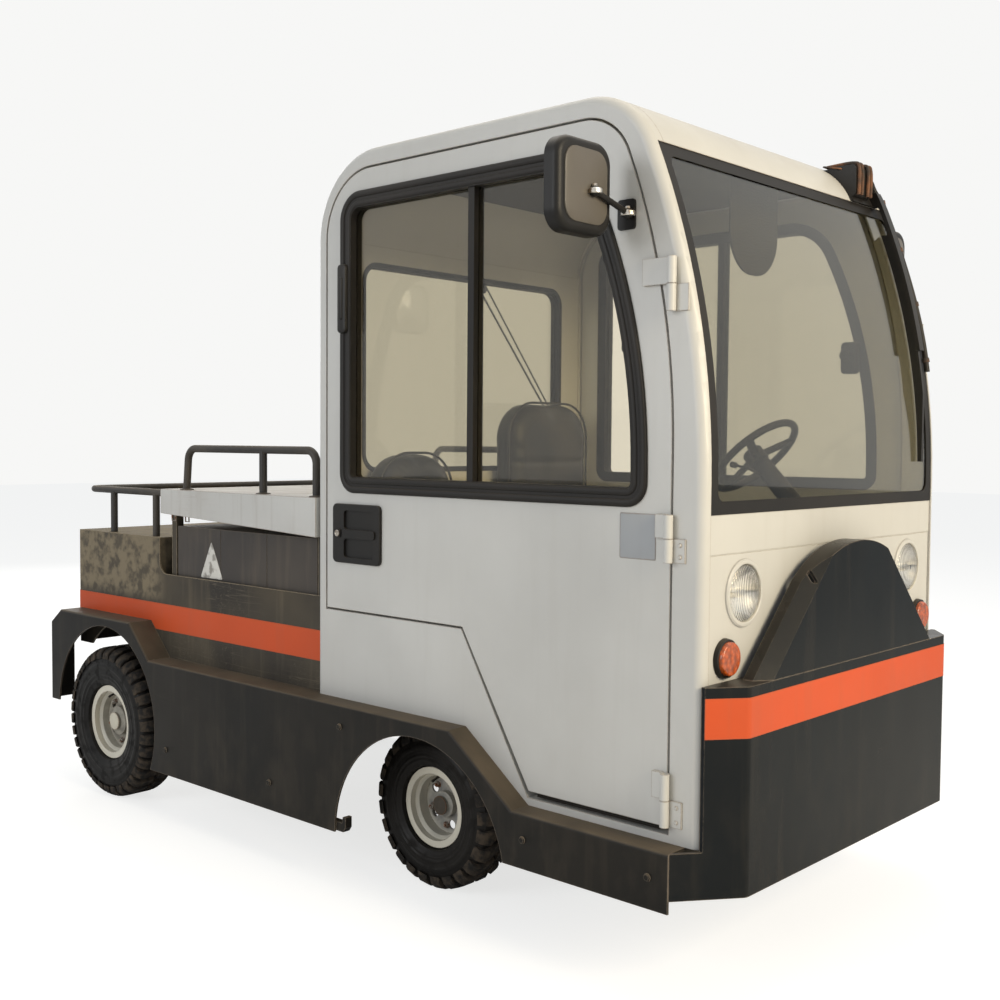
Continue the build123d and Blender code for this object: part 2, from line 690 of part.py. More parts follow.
with BuildPart() as skirts:
    with BuildSketch(Plane.XZ.offset(body_half)):
        add(skirt_face())
        add(arch_face(), mode=Mode.SUBTRACT)
    extrude(amount=-flange_in)
    top_edges = skirts.faces().sort_by(Axis.Y)[0].edges().filter_by_position(Axis.Z, sill_z - 1,
                                                                             fender_z + 1)
    fillet(top_edges.filter_by(GeomType.LINE), skirt_bend)
    with BuildSketch(Plane.XZ.offset(body_half - sheet)):
        add(skirt_face(sheet))
    extrude(amount=-flange_in, mode=Mode.SUBTRACT)
    with BuildSketch(Plane.XZ.offset(body_half - sheet)):
        with BuildLine():
            Polyline((hook_x - 40, hook_low), (hook_x - 10, hook_low), (hook_x, hook_low + 14),
                     (hook_x, hook_high), (hook_x - 12, hook_high), (hook_x - 14, bracket_top),
                     (hook_x - 40, bracket_top), close=True)
        make_face()
    extrude(amount=-bracket_w)
    with BuildSketch(Plane.XZ.offset(body_half - sheet)):
        with Locations((hook_x - 40, hook_low)):
            Rectangle(60, bracket_top - hook_low, align=(Align.MAX, Align.MIN))
    extrude(amount=-bracket_w)
    mirror(about=Plane.XZ)
save(skirts, "skirts")

# ---------------------------------------------------------------- bumper, stripes, apron
bumper_half = body_half - 148.0     # flat front face
stripe_low = bumper_top_z - 118.0
stripe_high = bumper_top_z - 25.0
stripe_t = 1.0
bumper_bend = 24.0
notch = 2.0                 # bumper clear of the cab pillars


def bumper_face(inset=0.0):
    """Plan of the bumper with its chamfered corners."""
    slope = (body_half - bumper_half) / (front_x - skirt_front)
    slant = inset * (sqrt(1 + slope ** 2) - 1) / slope
    reach = inset * sqrt(1 + slope ** 2)
    with BuildSketch() as face:
        with BuildLine():
            Polyline((skirt_front, -body_half + reach), (front_x - inset, -bumper_half + slant),
                     (front_x - inset, bumper_half - slant), (skirt_front,
                                                              body_half - reach), close=True)
        make_face()
        fillet(face.vertices().group_by(Axis.X)[-1], bumper_bend - inset)
    return face.sketch


with BuildPart() as bumper:
    with BuildSketch(Plane.XY.offset(bumper_gap)):
        add(bumper_face())
    extrude(amount=bumper_top_z - bumper_gap)
    with BuildSketch(Plane.XY.offset(bumper_gap)):
        add(bumper_face(bumper_sheet))
    extrude(amount=bumper_top_z - bumper_gap - bumper_sheet, mode=Mode.SUBTRACT)
    with BuildSketch(Plane.XY.offset(sill_z)):
        with Locations((cab_front, 0)):
            Rectangle(200, 2 * body_half, align=(Align.MAX, Align.CENTER))
        with Locations((cab_front, cab_half + notch)):
            Rectangle(200, 200, align=(Align.CENTER, Align.MIN))
        with Locations((cab_front, -cab_half - notch)):
            Rectangle(200, 200, align=(Align.CENTER, Align.MAX))
    extrude(amount=bumper_top_z, mode=Mode.SUBTRACT)
save(bumper, "bumper")

with BuildPart() as stripes:
    with BuildSketch(Plane.XY.offset(stripe_low)):
        add(bumper_face(-stripe_t))
        add(bumper_face(), mode=Mode.SUBTRACT)
        with Locations((cab_front, 0)):
            Rectangle(200, 2 * (cab_half + notch), align=(Align.MIN, Align.CENTER), mode=Mode.INTERSECT)
    extrude(amount=stripe_high - stripe_low)
    with BuildSketch(Plane.XY.offset(stripe_low)):
        with Locations((rear_body_front, 0)):
            Rectangle(rear_body_front - rear_body_x + stripe_t, 2 * (rear_body_half + stripe_t),
                      align=(Align.MAX, Align.CENTER))
            Rectangle(rear_body_front - rear_body_x, 2 * rear_body_half,
                      align=(Align.MAX, Align.CENTER), mode=Mode.SUBTRACT)
    extrude(amount=stripe_high - stripe_low)
save(stripes, "stripes")

apron_foot = 473.0
apron_shoulder = 257.0
apron_shoulder_drop = 90.0
apron_top_z = bumper_top_z + 304.0
apron_depth = 56.0
apron_fold = 30.0           # slopes folded back
relief_w = 14.0             # slot where a fold ends


def apron_block(inset=0.0):
    """Apron outline at its full depth, both slopes folded back."""
    shoulder_z = apron_top_z - apron_shoulder_drop
    with BuildPart() as block:
        with BuildSketch(Plane.YZ.offset(front_x - inset)):
            with BuildLine():
                base = Line((-apron_foot, bumper_top_z), (apron_foot, bumper_top_z))
                slope = Line(base @ 1, (apron_shoulder, shoulder_z))
                top = ThreePointArc(slope @ 1, (0, apron_top_z), (-apron_shoulder, shoulder_z))
                Line(top @ 1, base @ 0)
            make_face()
            if inset:
                offset(amount=-inset, kind=Kind.INTERSECTION)
        extrude(amount=-apron_depth)
        front_edges = block.faces().sort_by(Axis.X)[-1].edges()
        chamfer(front_edges.filter_by(GeomType.LINE).sort_by(Axis.Z)[1:], apron_fold - inset * 0.41)
    return block.part


with BuildPart() as apron:
    add(apron_block())
    add(apron_block(sheet), mode=Mode.SUBTRACT)
    with BuildSketch(Plane.YZ.offset(front_x)):
        with Locations((apron_shoulder - 30, apron_top_z - 78),
                       (30 - apron_shoulder, apron_top_z - 78)):
            SlotOverall(34, relief_w, rotation=90)
    extrude(amount=-apron_depth / 2, mode=Mode.SUBTRACT)
save(apron, "apron")

# ---------------------------------------------------------------- rear body
battery_front = cab_rear - 50.0
battery_rear = rear_axle_x + 323.0  # ahead of the wheel houses
battery_half = rear_body_half - 14.0
battery_panels = 3                  # cover plates along each side
battery_pitch = (battery_front - battery_rear) / battery_panels
battery_top_z = cover_z - 127.0
platform_z = ledge_z - 12.0
step_x = battery_rear - 94.0        # step up to the rear deck
step_r = 40.0
post = 28.0                         # corner posts under the battery cover
post_y = battery_half - 27.0
post_rear_x = battery_rear - 8.0 - post
post_front_x = battery_front + 5.0
cover_sheet_z = cover_z - cover_sheet
lid_hinge_y = cab_half - 18.0
lid_hinge_z = cover_z - 107.0
lid_pin_r = 6.0
lid_eye_r = 12.0
lug_t = 12.0
ear_t = 8.0
ear_gap = 6.0
Post = namedtuple("Post", "x inward")
posts = [Post(x=post_rear_x, inward=1), Post(x=post_front_x, inward=-1)]

with BuildPart() as rear_body:
    with BuildSketch(Plane.XZ.offset(rear_body_half)) as side_view:
        with BuildLine():
            Polyline((rear_body_x, platform_z), (rear_body_x, rear_deck_z), (step_x, rear_deck_z),
                     (step_x, deck_z),
                     (rear_body_front, deck_z), (rear_body_front, platform_z), close=True)
        make_face()
        fillet(side_view.vertices().sort_by_distance((step_x, deck_z, 0))[0], step_r)
    extrude(amount=-2 * rear_body_half)
    with BuildSketch(Plane.XZ.offset(rear_body_half - sheet)):
        with BuildLine():
            Polyline((rear_body_x + sheet, platform_z - 1), (rear_body_x + sheet, rear_deck_z - sheet),
                     (step_x - sheet, rear_deck_z - sheet), (step_x - sheet,
                                                             platform_z - 1), close=True)
        make_face()
    extrude(amount=-2 * (rear_body_half - sheet), mode=Mode.SUBTRACT)
    with Locations((step_x, 0, platform_z + sheet)):
        Box(rear_body_front - step_x - sheet, 2 * (rear_body_half - sheet), rear_deck_z - platform_z,
            align=(Align.MIN, Align.CENTER, Align.MIN), mode=Mode.SUBTRACT)
    for side in (-1, 1):
        with BuildSketch(Plane.XZ.offset(side * wheel_house_in)):
            with Locations((rear_arch_x, rear_arch_z)):
                Circle(rear_arch_r + 10)
        extrude(amount=side * body_half, mode=Mode.SUBTRACT)
    for corner in posts:
        for side in (-1, 1):
            with Locations((corner.x, side * post_y, platform_z + sheet)):
                Box(post, post, cover_sheet_z - 5 - platform_z - sheet,
                    align=(Align.MIN, Align.MIN if side > 0 else Align.MAX, Align.MIN))
        lug_x = corner.x + post / 2
        with BuildSketch(Plane.YZ.offset(lug_x - lug_t / 2)):
            with Locations((lid_hinge_y, lid_hinge_z)):
                Circle(lid_eye_r)
                Rectangle(lid_hinge_y - post_y - post / 2, 2 * lid_eye_r,
                          align=(Align.MAX, Align.CENTER))
        extrude(amount=lug_t)
        with BuildSketch(Plane.YZ.offset(lug_x)):
            with Locations((lid_hinge_y, lid_hinge_z)):
                Circle(lid_pin_r)
        extrude(amount=corner.inward * (lug_t / 2 + ear_gap + ear_t + 3))
save(rear_body, "rear_body")

with BuildPart() as battery:
    with Locations((battery_rear, 0, platform_z + sheet)):
        Box(battery_front - battery_rear, 2 * battery_half, battery_top_z - platform_z - sheet,
            align=(Align.MIN, Align.CENTER, Align.MIN))
    with GridLocations(battery_pitch, 2 * battery_half, battery_panels - 1, 2):
        with Locations(((battery_front + battery_rear) / 2, 0, platform_z + sheet)):
            Box(seam_w, 2 * seam_d, battery_top_z - platform_z,
                align=(Align.CENTER, Align.CENTER, Align.MIN),
                mode=Mode.SUBTRACT)
save(battery, "battery")

# ---------------------------------------------------------------- battery cover
cover_front = rear_body_front - 2.0
cover_rear = battery_rear - 43.0
cover_lip_rear_z = cover_z - 83.0
cover_lip_front_z = cover_z - 119.0

with BuildPart() as battery_cover:
    with BuildSketch(Plane.XZ.offset(cab_half)):
        with BuildLine():
            Polyline((cover_rear, cover_lip_rear_z), (cover_rear, cover_z), (cover_front, cover_z),
                     (cover_front, cover_lip_front_z), close=True)
        make_face()
    extrude(amount=-2 * cab_half)
    with Locations((cover_rear + cover_sheet, 0, cover_z - cover_sheet)):
        Box(cover_front - cover_rear - 2 * cover_sheet, 2 * (cab_half - cover_sheet), 300,
            align=(Align.MIN, Align.CENTER, Align.MAX), mode=Mode.SUBTRACT)
    for corner in posts:
        lug_x = corner.x + post / 2
        ear_x = lug_x + corner.inward * (lug_t / 2 + ear_gap)
        with BuildSketch(Plane.YZ.offset(ear_x)):
            with Locations((lid_hinge_y, lid_hinge_z)):
                Circle(lid_eye_r)
                Rectangle(2 * lid_eye_r, cover_sheet_z - lid_hinge_z, align=(Align.CENTER, Align.MIN))
                Rectangle(cab_half - cover_sheet - lid_hinge_y, cover_sheet_z - lid_hinge_z,
                          align=(Align.MIN, Align.MIN))
                Circle(lid_pin_r + running, mode=Mode.SUBTRACT)
        extrude(amount=corner.inward * ear_t)
save(battery_cover, "battery_cover")

rail_y = cab_half - 29.0
rail_z = cover_z + 140.0
rail_rear = cover_rear + 130.0
rail_mid = cab_rear - 302.0
rail_front = cover_front - 30.0
rail_bend = 42.0
rail_lean = 14.0
with BuildPart() as cover_rails:
    with BuildLine():
        FilletPolyline((rail_rear - rail_lean, -rail_y, cover_z - 5), (rail_rear, -rail_y, rail_z),
                       (rail_front, -rail_y, rail_z), (rail_front, -rail_y,
                                                       cover_z - 5), radius=rail_bend)
    with BuildSketch(Plane(origin=(rail_rear - rail_lean, -rail_y, cover_z - 5),
                           z_dir=(rail_lean, 0, rail_z - cover_z + 5))):
        Circle(rail_tube / 2)
    sweep()
    split(bisect_by=Plane.XY.offset(cover_z), keep=Keep.TOP)
    with Locations((rail_mid, -rail_y, cover_z)):
        Cylinder(rail_tube / 2, rail_z - cover_z, align=(Align.CENTER, Align.CENTER, Align.MIN))
    mirror(about=Plane.XZ)
save(cover_rails, "cover_rails")

deck_rail_y = rear_body_half - 26.0
deck_rail_z = rear_deck_z + 155.0
deck_rail_front = step_x - 6.0
deck_rail_rear = rear_body_x + 30.0
deck_posts = [step_x - 62.0, rear_body_x + 205.0]
with BuildPart() as deck_rail:
    with BuildLine():
        FilletPolyline((deck_rail_front, -deck_rail_y, deck_rail_z),
                       (deck_rail_rear, -deck_rail_y, deck_rail_z),
                       (deck_rail_rear, deck_rail_y, deck_rail_z), (deck_rail_front, deck_rail_y,
                                                                    deck_rail_z),
                       radius=50)
    with BuildSketch(Plane(origin=(deck_rail_front, -deck_rail_y, deck_rail_z), z_dir=(-1, 0, 0))):
        Circle(rail_tube / 2)
    sweep()
    for x in deck_posts:
        with Locations((x, -deck_rail_y, rear_deck_z), (x, deck_rail_y, rear_deck_z)):
            Cylinder(rail_tube / 2, deck_rail_z - rear_deck_z,
                     align=(Align.CENTER, Align.CENTER, Align.MIN))
save(deck_rail, "deck_rail")

# ---------------------------------------------------------------- frame
rail_in = 180.0             # frame rails, half distance between inner faces
rail_w = 55.0
front_rail_low = sill_z - 90.0
rear_rail_low = platform_z - 120.0
rail_end = cab_rear + 40.0  # where the low front rails meet the high rear ones
frame_rear = rear_body_x
cross_w = 60.0
outriggers = [cab_front - 130.0, cab_front - 470.0]
rear_outriggers = [cab_rear - 20.0, rear_axle_x + 430.0]

with BuildPart() as frame:
    for side in (-1, 1):
        with Locations((front_x - bumper_sheet, side * (rail_in + rail_w / 2), sill_z)):
            Box(front_x - bumper_sheet - cab_rear + 40, rail_w, sill_z - front_rail_low,
                align=(Align.MAX, Align.CENTER, Align.MAX))
        with Locations((rail_end, side * (rail_in + rail_w / 2), platform_z)):
            Box(rail_end - frame_rear, rail_w, platform_z - rear_rail_low,
                align=(Align.MAX, Align.CENTER, Align.MAX))
        with Locations((rail_end, side * (rail_in + rail_w / 2), platform_z)):
            Box(rail_end - cab_rear + 40, rail_w, platform_z - front_rail_low,
                align=(Align.MAX, Align.CENTER, Align.MAX))
        for x in outriggers:
            with Locations((x, side * rail_in, sill_z - sheet)):
                Box(cross_w, body_half - sheet - rail_in, sill_z - sheet - front_rail_low,
                    align=(Align.CENTER, Align.MIN if side > 0 else Align.MAX, Align.MAX))
        for x in rear_outriggers:
            with Locations((x, side * rail_in, platform_z)):
                Box(cross_w, body_half - sheet - rail_in, platform_z - rear_rail_low,
                    align=(Align.CENTER, Align.MIN if side > 0 else Align.MAX, Align.MAX))
    for x in (front_x - bumper_sheet - cross_w / 2, cab_front - 470.0):
        with Locations((x, 0, sill_z)):
            Box(cross_w, 2 * rail_in, sill_z - front_rail_low,
                align=(Align.CENTER, Align.CENTER, Align.MAX))
    for x in (rail_end - cross_w / 2, frame_rear + cross_w / 2):
        with Locations((x, 0, platform_z)):
            Box(cross_w, 2 * rail_in, platform_z - rear_rail_low,
                align=(Align.CENTER, Align.CENTER, Align.MAX))
save(frame, "frame")

# ---------------------------------------------------------------- tow coupling
coupling_w = 120.0
jaw_t = 16.0
jaw_gap = 50.0
jaw_z = platform_z - 90.0    # middle of the jaws
tow_pin_r = 14.0
jaw_r = 45.0
tow_pin_x = -(front_x + stripe_t) + jaw_r
coupling_plate_t = 16.0

with BuildPart() as tow_coupling:
    with Locations((frame_rear, 0, jaw_z)):
        Box(coupling_plate_t, 190, 170, align=(Align.MAX, Align.CENTER, Align.CENTER))
    for low in (jaw_z - jaw_gap / 2 - jaw_t, jaw_z + jaw_gap / 2):
        with BuildSketch(Plane.XY.offset(low)):
            with Locations((frame_rear - coupling_plate_t, 0)):
                Rectangle(frame_rear - coupling_plate_t - tow_pin_x, coupling_w,
                          align=(Align.MAX, Align.CENTER))
            with Locations((tow_pin_x, 0)):
                Circle(jaw_r)
        extrude(amount=jaw_t)
    with BuildSketch(Plane.XY.offset(jaw_z - 100)):
        with Locations((tow_pin_x, 0)):
            Circle(tow_pin_r + running)
    extrude(amount=200, mode=Mode.SUBTRACT)
save(tow_coupling, "tow_coupling")

with BuildPart() as tow_pin:
    with BuildSketch(Plane.XY.offset(jaw_z - jaw_gap / 2 - jaw_t - 20)):
        with Locations((tow_pin_x, 0)):
            Circle(tow_pin_r)
    extrude(amount=jaw_gap + 2 * jaw_t + 20)
    with BuildSketch(Plane.XY.offset(jaw_z + jaw_gap / 2 + jaw_t)):
        with Locations((tow_pin_x, 0)):
            Circle(tow_pin_r + 10)
    extrude(amount=12)
    with BuildSketch(Plane.XZ.offset(-5)):
        with Locations((tow_pin_x, jaw_z + jaw_gap / 2 + jaw_t + 12 + 22)):
            Circle(26)
            Circle(17, mode=Mode.SUBTRACT)
    extrude(amount=10)
save(tow_pin, "tow_pin")

tail_y = rear_body_half - 75.0
tail_z = rear_deck_z - 80.0
tail_w = 110.0
tail_h = 90.0
tail_t = 32.0

with BuildPart() as tail_lamps:
    with BuildSketch(Plane.YZ.offset(rear_body_x)):
        with Locations((tail_y, tail_z), (-tail_y, tail_z)):
            RectangleRounded(tail_w, tail_h, 12)
    extrude(amount=-tail_t)
save(tail_lamps, "tail_lamps")

# ---------------------------------------------------------------- axles, knuckles, tie rod
kingpin_y = front_track / 2 - 95.0
kingpin_r = 13.0
eye_r = 26.0
eye_h = 60.0
fork_t = 18.0
beam_w = 60.0
spindle_r = 20.0
arm_len = 110.0             # steering arms point straight back: the tie rod stays parallel
tie_pin_r = 7.0
tie_z = front_axle_z - eye_h / 2 - fork_t
front_hub_in = 20.0         # hub inwards and outwards of the wheel's middle
front_hub_out = 4.0
end_gap = 8.0               # spindle end clear of the hub cap
knuckle_face = front_track / 2 - front_hub_in - 6.0
knuckle_t = 12.0
steer_range = 30.0

with BuildPart() as front_axle:
    with Locations((front_axle_x, 0, front_axle_z)):
        Box(beam_w, 2 * kingpin_y - 60, eye_h)
    for side in (1, -1):
        with Locations((front_axle_x, side * kingpin_y, front_axle_z)):
            Cylinder(eye_r, eye_h)
        with Locations((front_axle_x, side * (kingpin_y - 25), front_axle_z)):
            Box(2 * eye_r, 50, eye_h)
        with Locations((front_axle_x, side * kingpin_y, front_axle_z)):
            Cylinder(kingpin_r + running, eye_h + 10, mode=Mode.SUBTRACT)
        with Locations((front_axle_x, side * (rail_in + rail_w / 2), front_rail_low)):
            Box(120, rail_w, front_rail_low - front_axle_z - eye_h / 2,
                align=(Align.CENTER, Align.CENTER, Align.MAX))
save(front_axle, "front_axle")

spindle_out = front_track / 2 + front_hub_out - end_gap
with BuildPart() as knuckle_right:
    with Locations((front_axle_x, -kingpin_y, front_axle_z)):
        Cylinder(kingpin_r, eye_h + 2 * fork_t)
    for z in (front_axle_z - eye_h / 2 - 0.5 - fork_t / 2, front_axle_z + eye_h / 2 + 0.5 + fork_t / 2):
        with Locations((front_axle_x, -kingpin_y, z)):
            Cylinder(eye_r, fork_t)
        with Locations((front_axle_x, -kingpin_y, z)):
            Box(2 * eye_r, knuckle_face - kingpin_y, fork_t,
                align=(Align.CENTER, Align.MAX, Align.CENTER))
    with Locations((front_axle_x, -knuckle_face, front_axle_z)):
        Box(2 * eye_r, knuckle_t, eye_h + 2 * fork_t + 1, align=(Align.CENTER, Align.MIN, Align.CENTER))
    with BuildSketch(Plane.XZ.offset(knuckle_face)):
        with Locations((front_axle_x, front_axle_z)):
            Circle(spindle_r)
    extrude(amount=spindle_out - knuckle_face)
    with BuildSketch(Plane.XY.offset(tie_z - 0.5)):
        with BuildLine():
            Polyline((front_axle_x, -kingpin_y - 18), (front_axle_x, -kingpin_y + 18),
                     (front_axle_x - arm_len, -kingpin_y + 14), (front_axle_x - arm_len,
                                                                 -kingpin_y - 14),
                     close=True)
        make_face()
        with Locations((front_axle_x - arm_len, -kingpin_y)):
            Circle(14)
    extrude(amount=12)
    with Locations((front_axle_x - arm_len, -kingpin_y, tie_z)):
        Cylinder(tie_pin_r, 26, align=(Align.CENTER, Align.CENTER, Align.MAX))
save_pair(knuckle_right, "knuckle")

tie_x = front_axle_x - arm_len
with BuildPart() as tie_rod:
    with Locations((tie_x, kingpin_y, tie_z - 1), (tie_x, -kingpin_y, tie_z - 1)):
        Cylinder(15, 22, align=(Align.CENTER, Align.CENTER, Align.MAX))
    with Locations((tie_x, 0, tie_z - 12)):
        Cylinder(9, 2 * kingpin_y - 20, rotation=(90, 0, 0))
    with Locations((tie_x, kingpin_y, tie_z), (tie_x, -kingpin_y, tie_z)):
        Cylinder(tie_pin_r + running, 60, mode=Mode.SUBTRACT)
save(tie_rod, "tie_rod")

axle_tube_r = 50.0
rear_spindle_r = 30.0
rear_hub_in = rear_track / 2 - 30.0
drive_y = 40.0              # final drive and motor, beside the middle plane
drive_r = 120.0
motor_r = 105.0
motor_len = 330.0
with BuildPart() as rear_axle:
    with Locations((rear_axle_x, 0, rear_axle_z)):
        Cylinder(axle_tube_r, 2 * (rear_hub_in - 12), rotation=(90, 0, 0))
    with Locations((rear_axle_x, 0, rear_axle_z)):
        Cylinder(rear_spindle_r, rear_track + 40, rotation=(90, 0, 0))
    with Locations((rear_axle_x, drive_y, rear_axle_z)):
        Cylinder(drive_r, 150, rotation=(90, 0, 0))
    with Locations((rear_axle_x + 60, drive_y, rear_axle_z + 10)):
        Cylinder(motor_r, motor_len, rotation=(0, 90, 0), align=(Align.CENTER, Align.CENTER, Align.MIN))
    for side in (1, -1):
        with Locations((rear_axle_x, side * (rail_in + rail_w / 2), rear_rail_low)):
            Box(150, rail_w, rear_rail_low - rear_axle_z, align=(Align.CENTER, Align.CENTER, Align.MAX))
save(rear_axle, "rear_axle")

# ---------------------------------------------------------------- wheels
# Each wheel: rim flange and well radii, rim width, disc place from the
# middle plane (outwards positive), hub reach and bore.
Wheel = namedtuple("Wheel", "x track tyre_d tyre_w flange_r bead_r well_r rim_w disc_y "
                   "hub_r hub_in hub_out bore cap_r hole_at hole_r lugs lug_w lug_reach")
wheels = {
    "front": Wheel(x=front_axle_x, track=front_track, tyre_d=front_tyre_d, tyre_w=front_tyre_w,
                   flange_r=116.0, bead_r=102.0, well_r=92.0, rim_w=88.0, disc_y=-18.0,
                   hub_r=38.0, hub_in=-front_hub_in, hub_out=front_hub_out, bore=spindle_r, cap_r=26.0,
                   hole_at=62.0, hole_r=13.0, lugs=18, lug_w=50.0, lug_reach=42.0),
    "rear": Wheel(x=rear_axle_x, track=rear_track, tyre_d=rear_tyre_d, tyre_w=rear_tyre_w,
                  flange_r=131.0, bead_r=115.0, well_r=104.0, rim_w=116.0, disc_y=2.0,
                  hub_r=52.0, hub_in=-30.0, hub_out=28.0, bore=rear_spindle_r, cap_r=30.0,
                  hole_at=75.0, hole_r=13.0, lugs=20, lug_w=54.0, lug_reach=50.0),
}
rim_t = 6.0
seat = 16.0                 # bead seat, then a ramp down to the well
ramp = 24.0
hand_holes = 5
lug_depth = 12.0


def wheel_axis(w):
    return Plane(origin=(w.x, -w.track / 2, w.tyre_d / 2), x_dir=(0, -1, 0), z_dir=(1, 0, 0))


for end, w in wheels.items():
    half = w.rim_w / 2
    with BuildPart() as rim_right:
        with BuildSketch(wheel_axis(w)):
            with BuildLine():
                Polyline((-half, w.flange_r), (-half + rim_t, w.flange_r), (-half + rim_t, w.bead_r),
                         (seat - half, w.bead_r), (ramp - half, w.well_r), (half - ramp, w.well_r),
                         (half - seat, w.bead_r), (half - rim_t, w.bead_r), (half - rim_t, w.flange_r),
                         (half, w.flange_r), (half, w.bead_r - rim_t), (half - seat - 2,
                                                                        w.bead_r - rim_t),
                         (half - ramp - 2, w.well_r - rim_t), (ramp + 2 - half, w.well_r - rim_t),
                         (seat + 2 - half, w.bead_r - rim_t), (-half, w.bead_r - rim_t), close=True)
            make_face()
            with BuildLine():
                Polyline((w.disc_y, w.hub_r - 2), (w.disc_y, w.well_r - rim_t + 1),
                         (w.disc_y + rim_t, w.well_r - rim_t + 1), (w.disc_y + rim_t,
                                                                    w.hub_r - 2), close=True)
            make_face()
            with BuildLine():
                Polyline((w.hub_in, w.bore + running), (w.hub_in, w.hub_r), (w.hub_out, w.hub_r),
                         (w.hub_out + 6, w.cap_r), (w.hub_out + 14, w.cap_r), (w.hub_out + 14, 0),
                         (w.hub_out, 0), (w.hub_out, w.bore + running), close=True)
            make_face()
        revolve(axis=Axis(origin=wheel_axis(w).origin, direction=(0, 1, 0)))
        with BuildSketch(Plane.XZ.offset(w.track / 2 + w.rim_w / 2)):
            with Locations((w.x, w.tyre_d / 2)):
                with PolarLocations(w.hole_at, hand_holes):
                    Circle(w.hole_r)
        extrude(amount=-w.rim_w, mode=Mode.SUBTRACT)
    save_pair(rim_right, f"rim_{end}")
    tread = w.tyre_d / 2
    width = w.tyre_w / 2
    crown = width - w.lug_reach
    lug_top = sqrt(tread ** 2 - (w.lug_w / 2) ** 2) - 1
    with BuildPart() as lug:
        with BuildSketch(wheel_axis(w)):
            with BuildLine():
                Polyline((crown - 2, tread - lug_depth - 8), (crown - 2, lug_top),
                         (width - 16, lug_top - 5),
                         (width - 3, lug_top - 22), (width - 3, tread - 46), close=True)
            make_face()
        extrude(amount=w.lug_w / 2, both=True)
    hub_axis = Axis(origin=wheel_axis(w).origin, direction=(0, 1, 0))
    inner_lug = lug.part.mirror(Plane(origin=hub_axis.position, z_dir=(0, 1, 0)))
    with BuildPart() as tyre_right:
        with BuildSketch(wheel_axis(w)):
            with BuildLine():
                Polyline((-half + rim_t + 0.5, w.bead_r + 0.3), (-half + rim_t + 0.5, w.flange_r + 4),
                         (-width, w.flange_r + 34), (-width, tread - 44), (-crown, tread - lug_depth),
                         (-crown, tread), (crown, tread), (crown, tread - lug_depth), (width,
                                                                                       tread - 44),
                         (width, w.flange_r + 34),
                         (half - rim_t - 0.5, w.flange_r + 4), (half - rim_t - 0.5,
                                                                w.bead_r + 0.3), close=True)
            make_face()
        revolve(axis=hub_axis)
        pitch = 360 / w.lugs
        add([lug.part.rotate(hub_axis, i * pitch) for i in range(w.lugs)])
        add([inner_lug.rotate(hub_axis, (i + 0.5) * pitch) for i in range(w.lugs)])
    save_pair(tyre_right, f"tyre_{end}")

# ---------------------------------------------------------------- wiper
# The motor sits on the roof's front edge, and the arm hangs from it down the
# left pillar.
blade_y = cab_half - 114.0
motor_y = blade_y - 136.0
motor_w = 92.0
arm_w = 28.0
arm_off = 22.0              # arm clear of the glass
arm_t = 12.0
motor_x = crown_x(cab_side) + 168.0
pad_t = 8.0
pad_low = cab_height - 130.0

with BuildPart() as wipers:
    with BuildSketch(Plane.XZ.offset(-motor_y)):
        add(outline_band(cab_side, -pad_t, 0.0, pad_low, cab_height - 30, band_back))
    extrude(amount=-(blade_y + arm_w / 2 - motor_y))
    with BuildSketch(Plane.XZ.offset(-motor_y)):
        with Locations((motor_x, cab_height - 70)):
            RectangleRounded(90, 90, 14)
        add(outline_face(cab_side), mode=Mode.SUBTRACT)
    extrude(amount=-motor_w)
    with BuildSketch(Plane.XZ.offset(-blade_y)):
        add(outline_band(cab_side, -arm_off - arm_t, 0.0, pad_low, pad_low + 40, band_back))
    extrude(amount=arm_w / 2, both=True)
    with BuildSketch(Plane.XZ.offset(-blade_y)):
        add(outline_band(cab_side, -arm_off - arm_t, -arm_off, pad_low - 425, pad_low + 20, band_back))
    extrude(amount=arm_w / 2, both=True)
    with BuildSketch(Plane.XZ.offset(-blade_y)):
        add(outline_band(cab_side, -arm_off - 2, 1.5, belt_z + 115, pad_low - 85, band_back))
    extrude(amount=6, both=True)
save(wipers, "wipers")
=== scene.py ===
import math

import bmesh
import bpy
from mathutils import Matrix, Vector


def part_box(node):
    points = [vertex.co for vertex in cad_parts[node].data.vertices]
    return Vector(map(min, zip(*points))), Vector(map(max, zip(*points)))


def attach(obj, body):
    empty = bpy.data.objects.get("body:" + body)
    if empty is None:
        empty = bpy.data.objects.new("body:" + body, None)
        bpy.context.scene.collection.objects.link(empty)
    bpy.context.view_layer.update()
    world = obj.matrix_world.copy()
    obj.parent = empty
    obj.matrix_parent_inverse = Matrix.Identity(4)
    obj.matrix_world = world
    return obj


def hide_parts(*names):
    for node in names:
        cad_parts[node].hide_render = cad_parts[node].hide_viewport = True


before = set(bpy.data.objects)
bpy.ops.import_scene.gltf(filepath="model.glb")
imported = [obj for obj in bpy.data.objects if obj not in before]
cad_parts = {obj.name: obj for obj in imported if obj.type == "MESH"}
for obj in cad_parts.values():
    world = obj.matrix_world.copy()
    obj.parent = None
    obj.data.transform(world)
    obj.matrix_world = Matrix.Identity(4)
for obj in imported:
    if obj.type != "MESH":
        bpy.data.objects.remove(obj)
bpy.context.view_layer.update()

# ---------------------------------------------------------------- studio
# A pale floor under an even sky, with a warm soft lamp ahead of the tug and
# weak cool ones at its side and behind it.


def add_node(tree, kind, inputs=None, **settings):
    """Add a node, set its properties, then fill or link its inputs."""
    made = tree.nodes.new(kind)
    for key, value in settings.items():
        setattr(made, key, value)
    for key, value in (inputs or {}).items():
        if isinstance(value, bpy.types.NodeSocket):
            tree.links.new(value, made.inputs[key])
        else:
            made.inputs[key].default_value = value
    return made


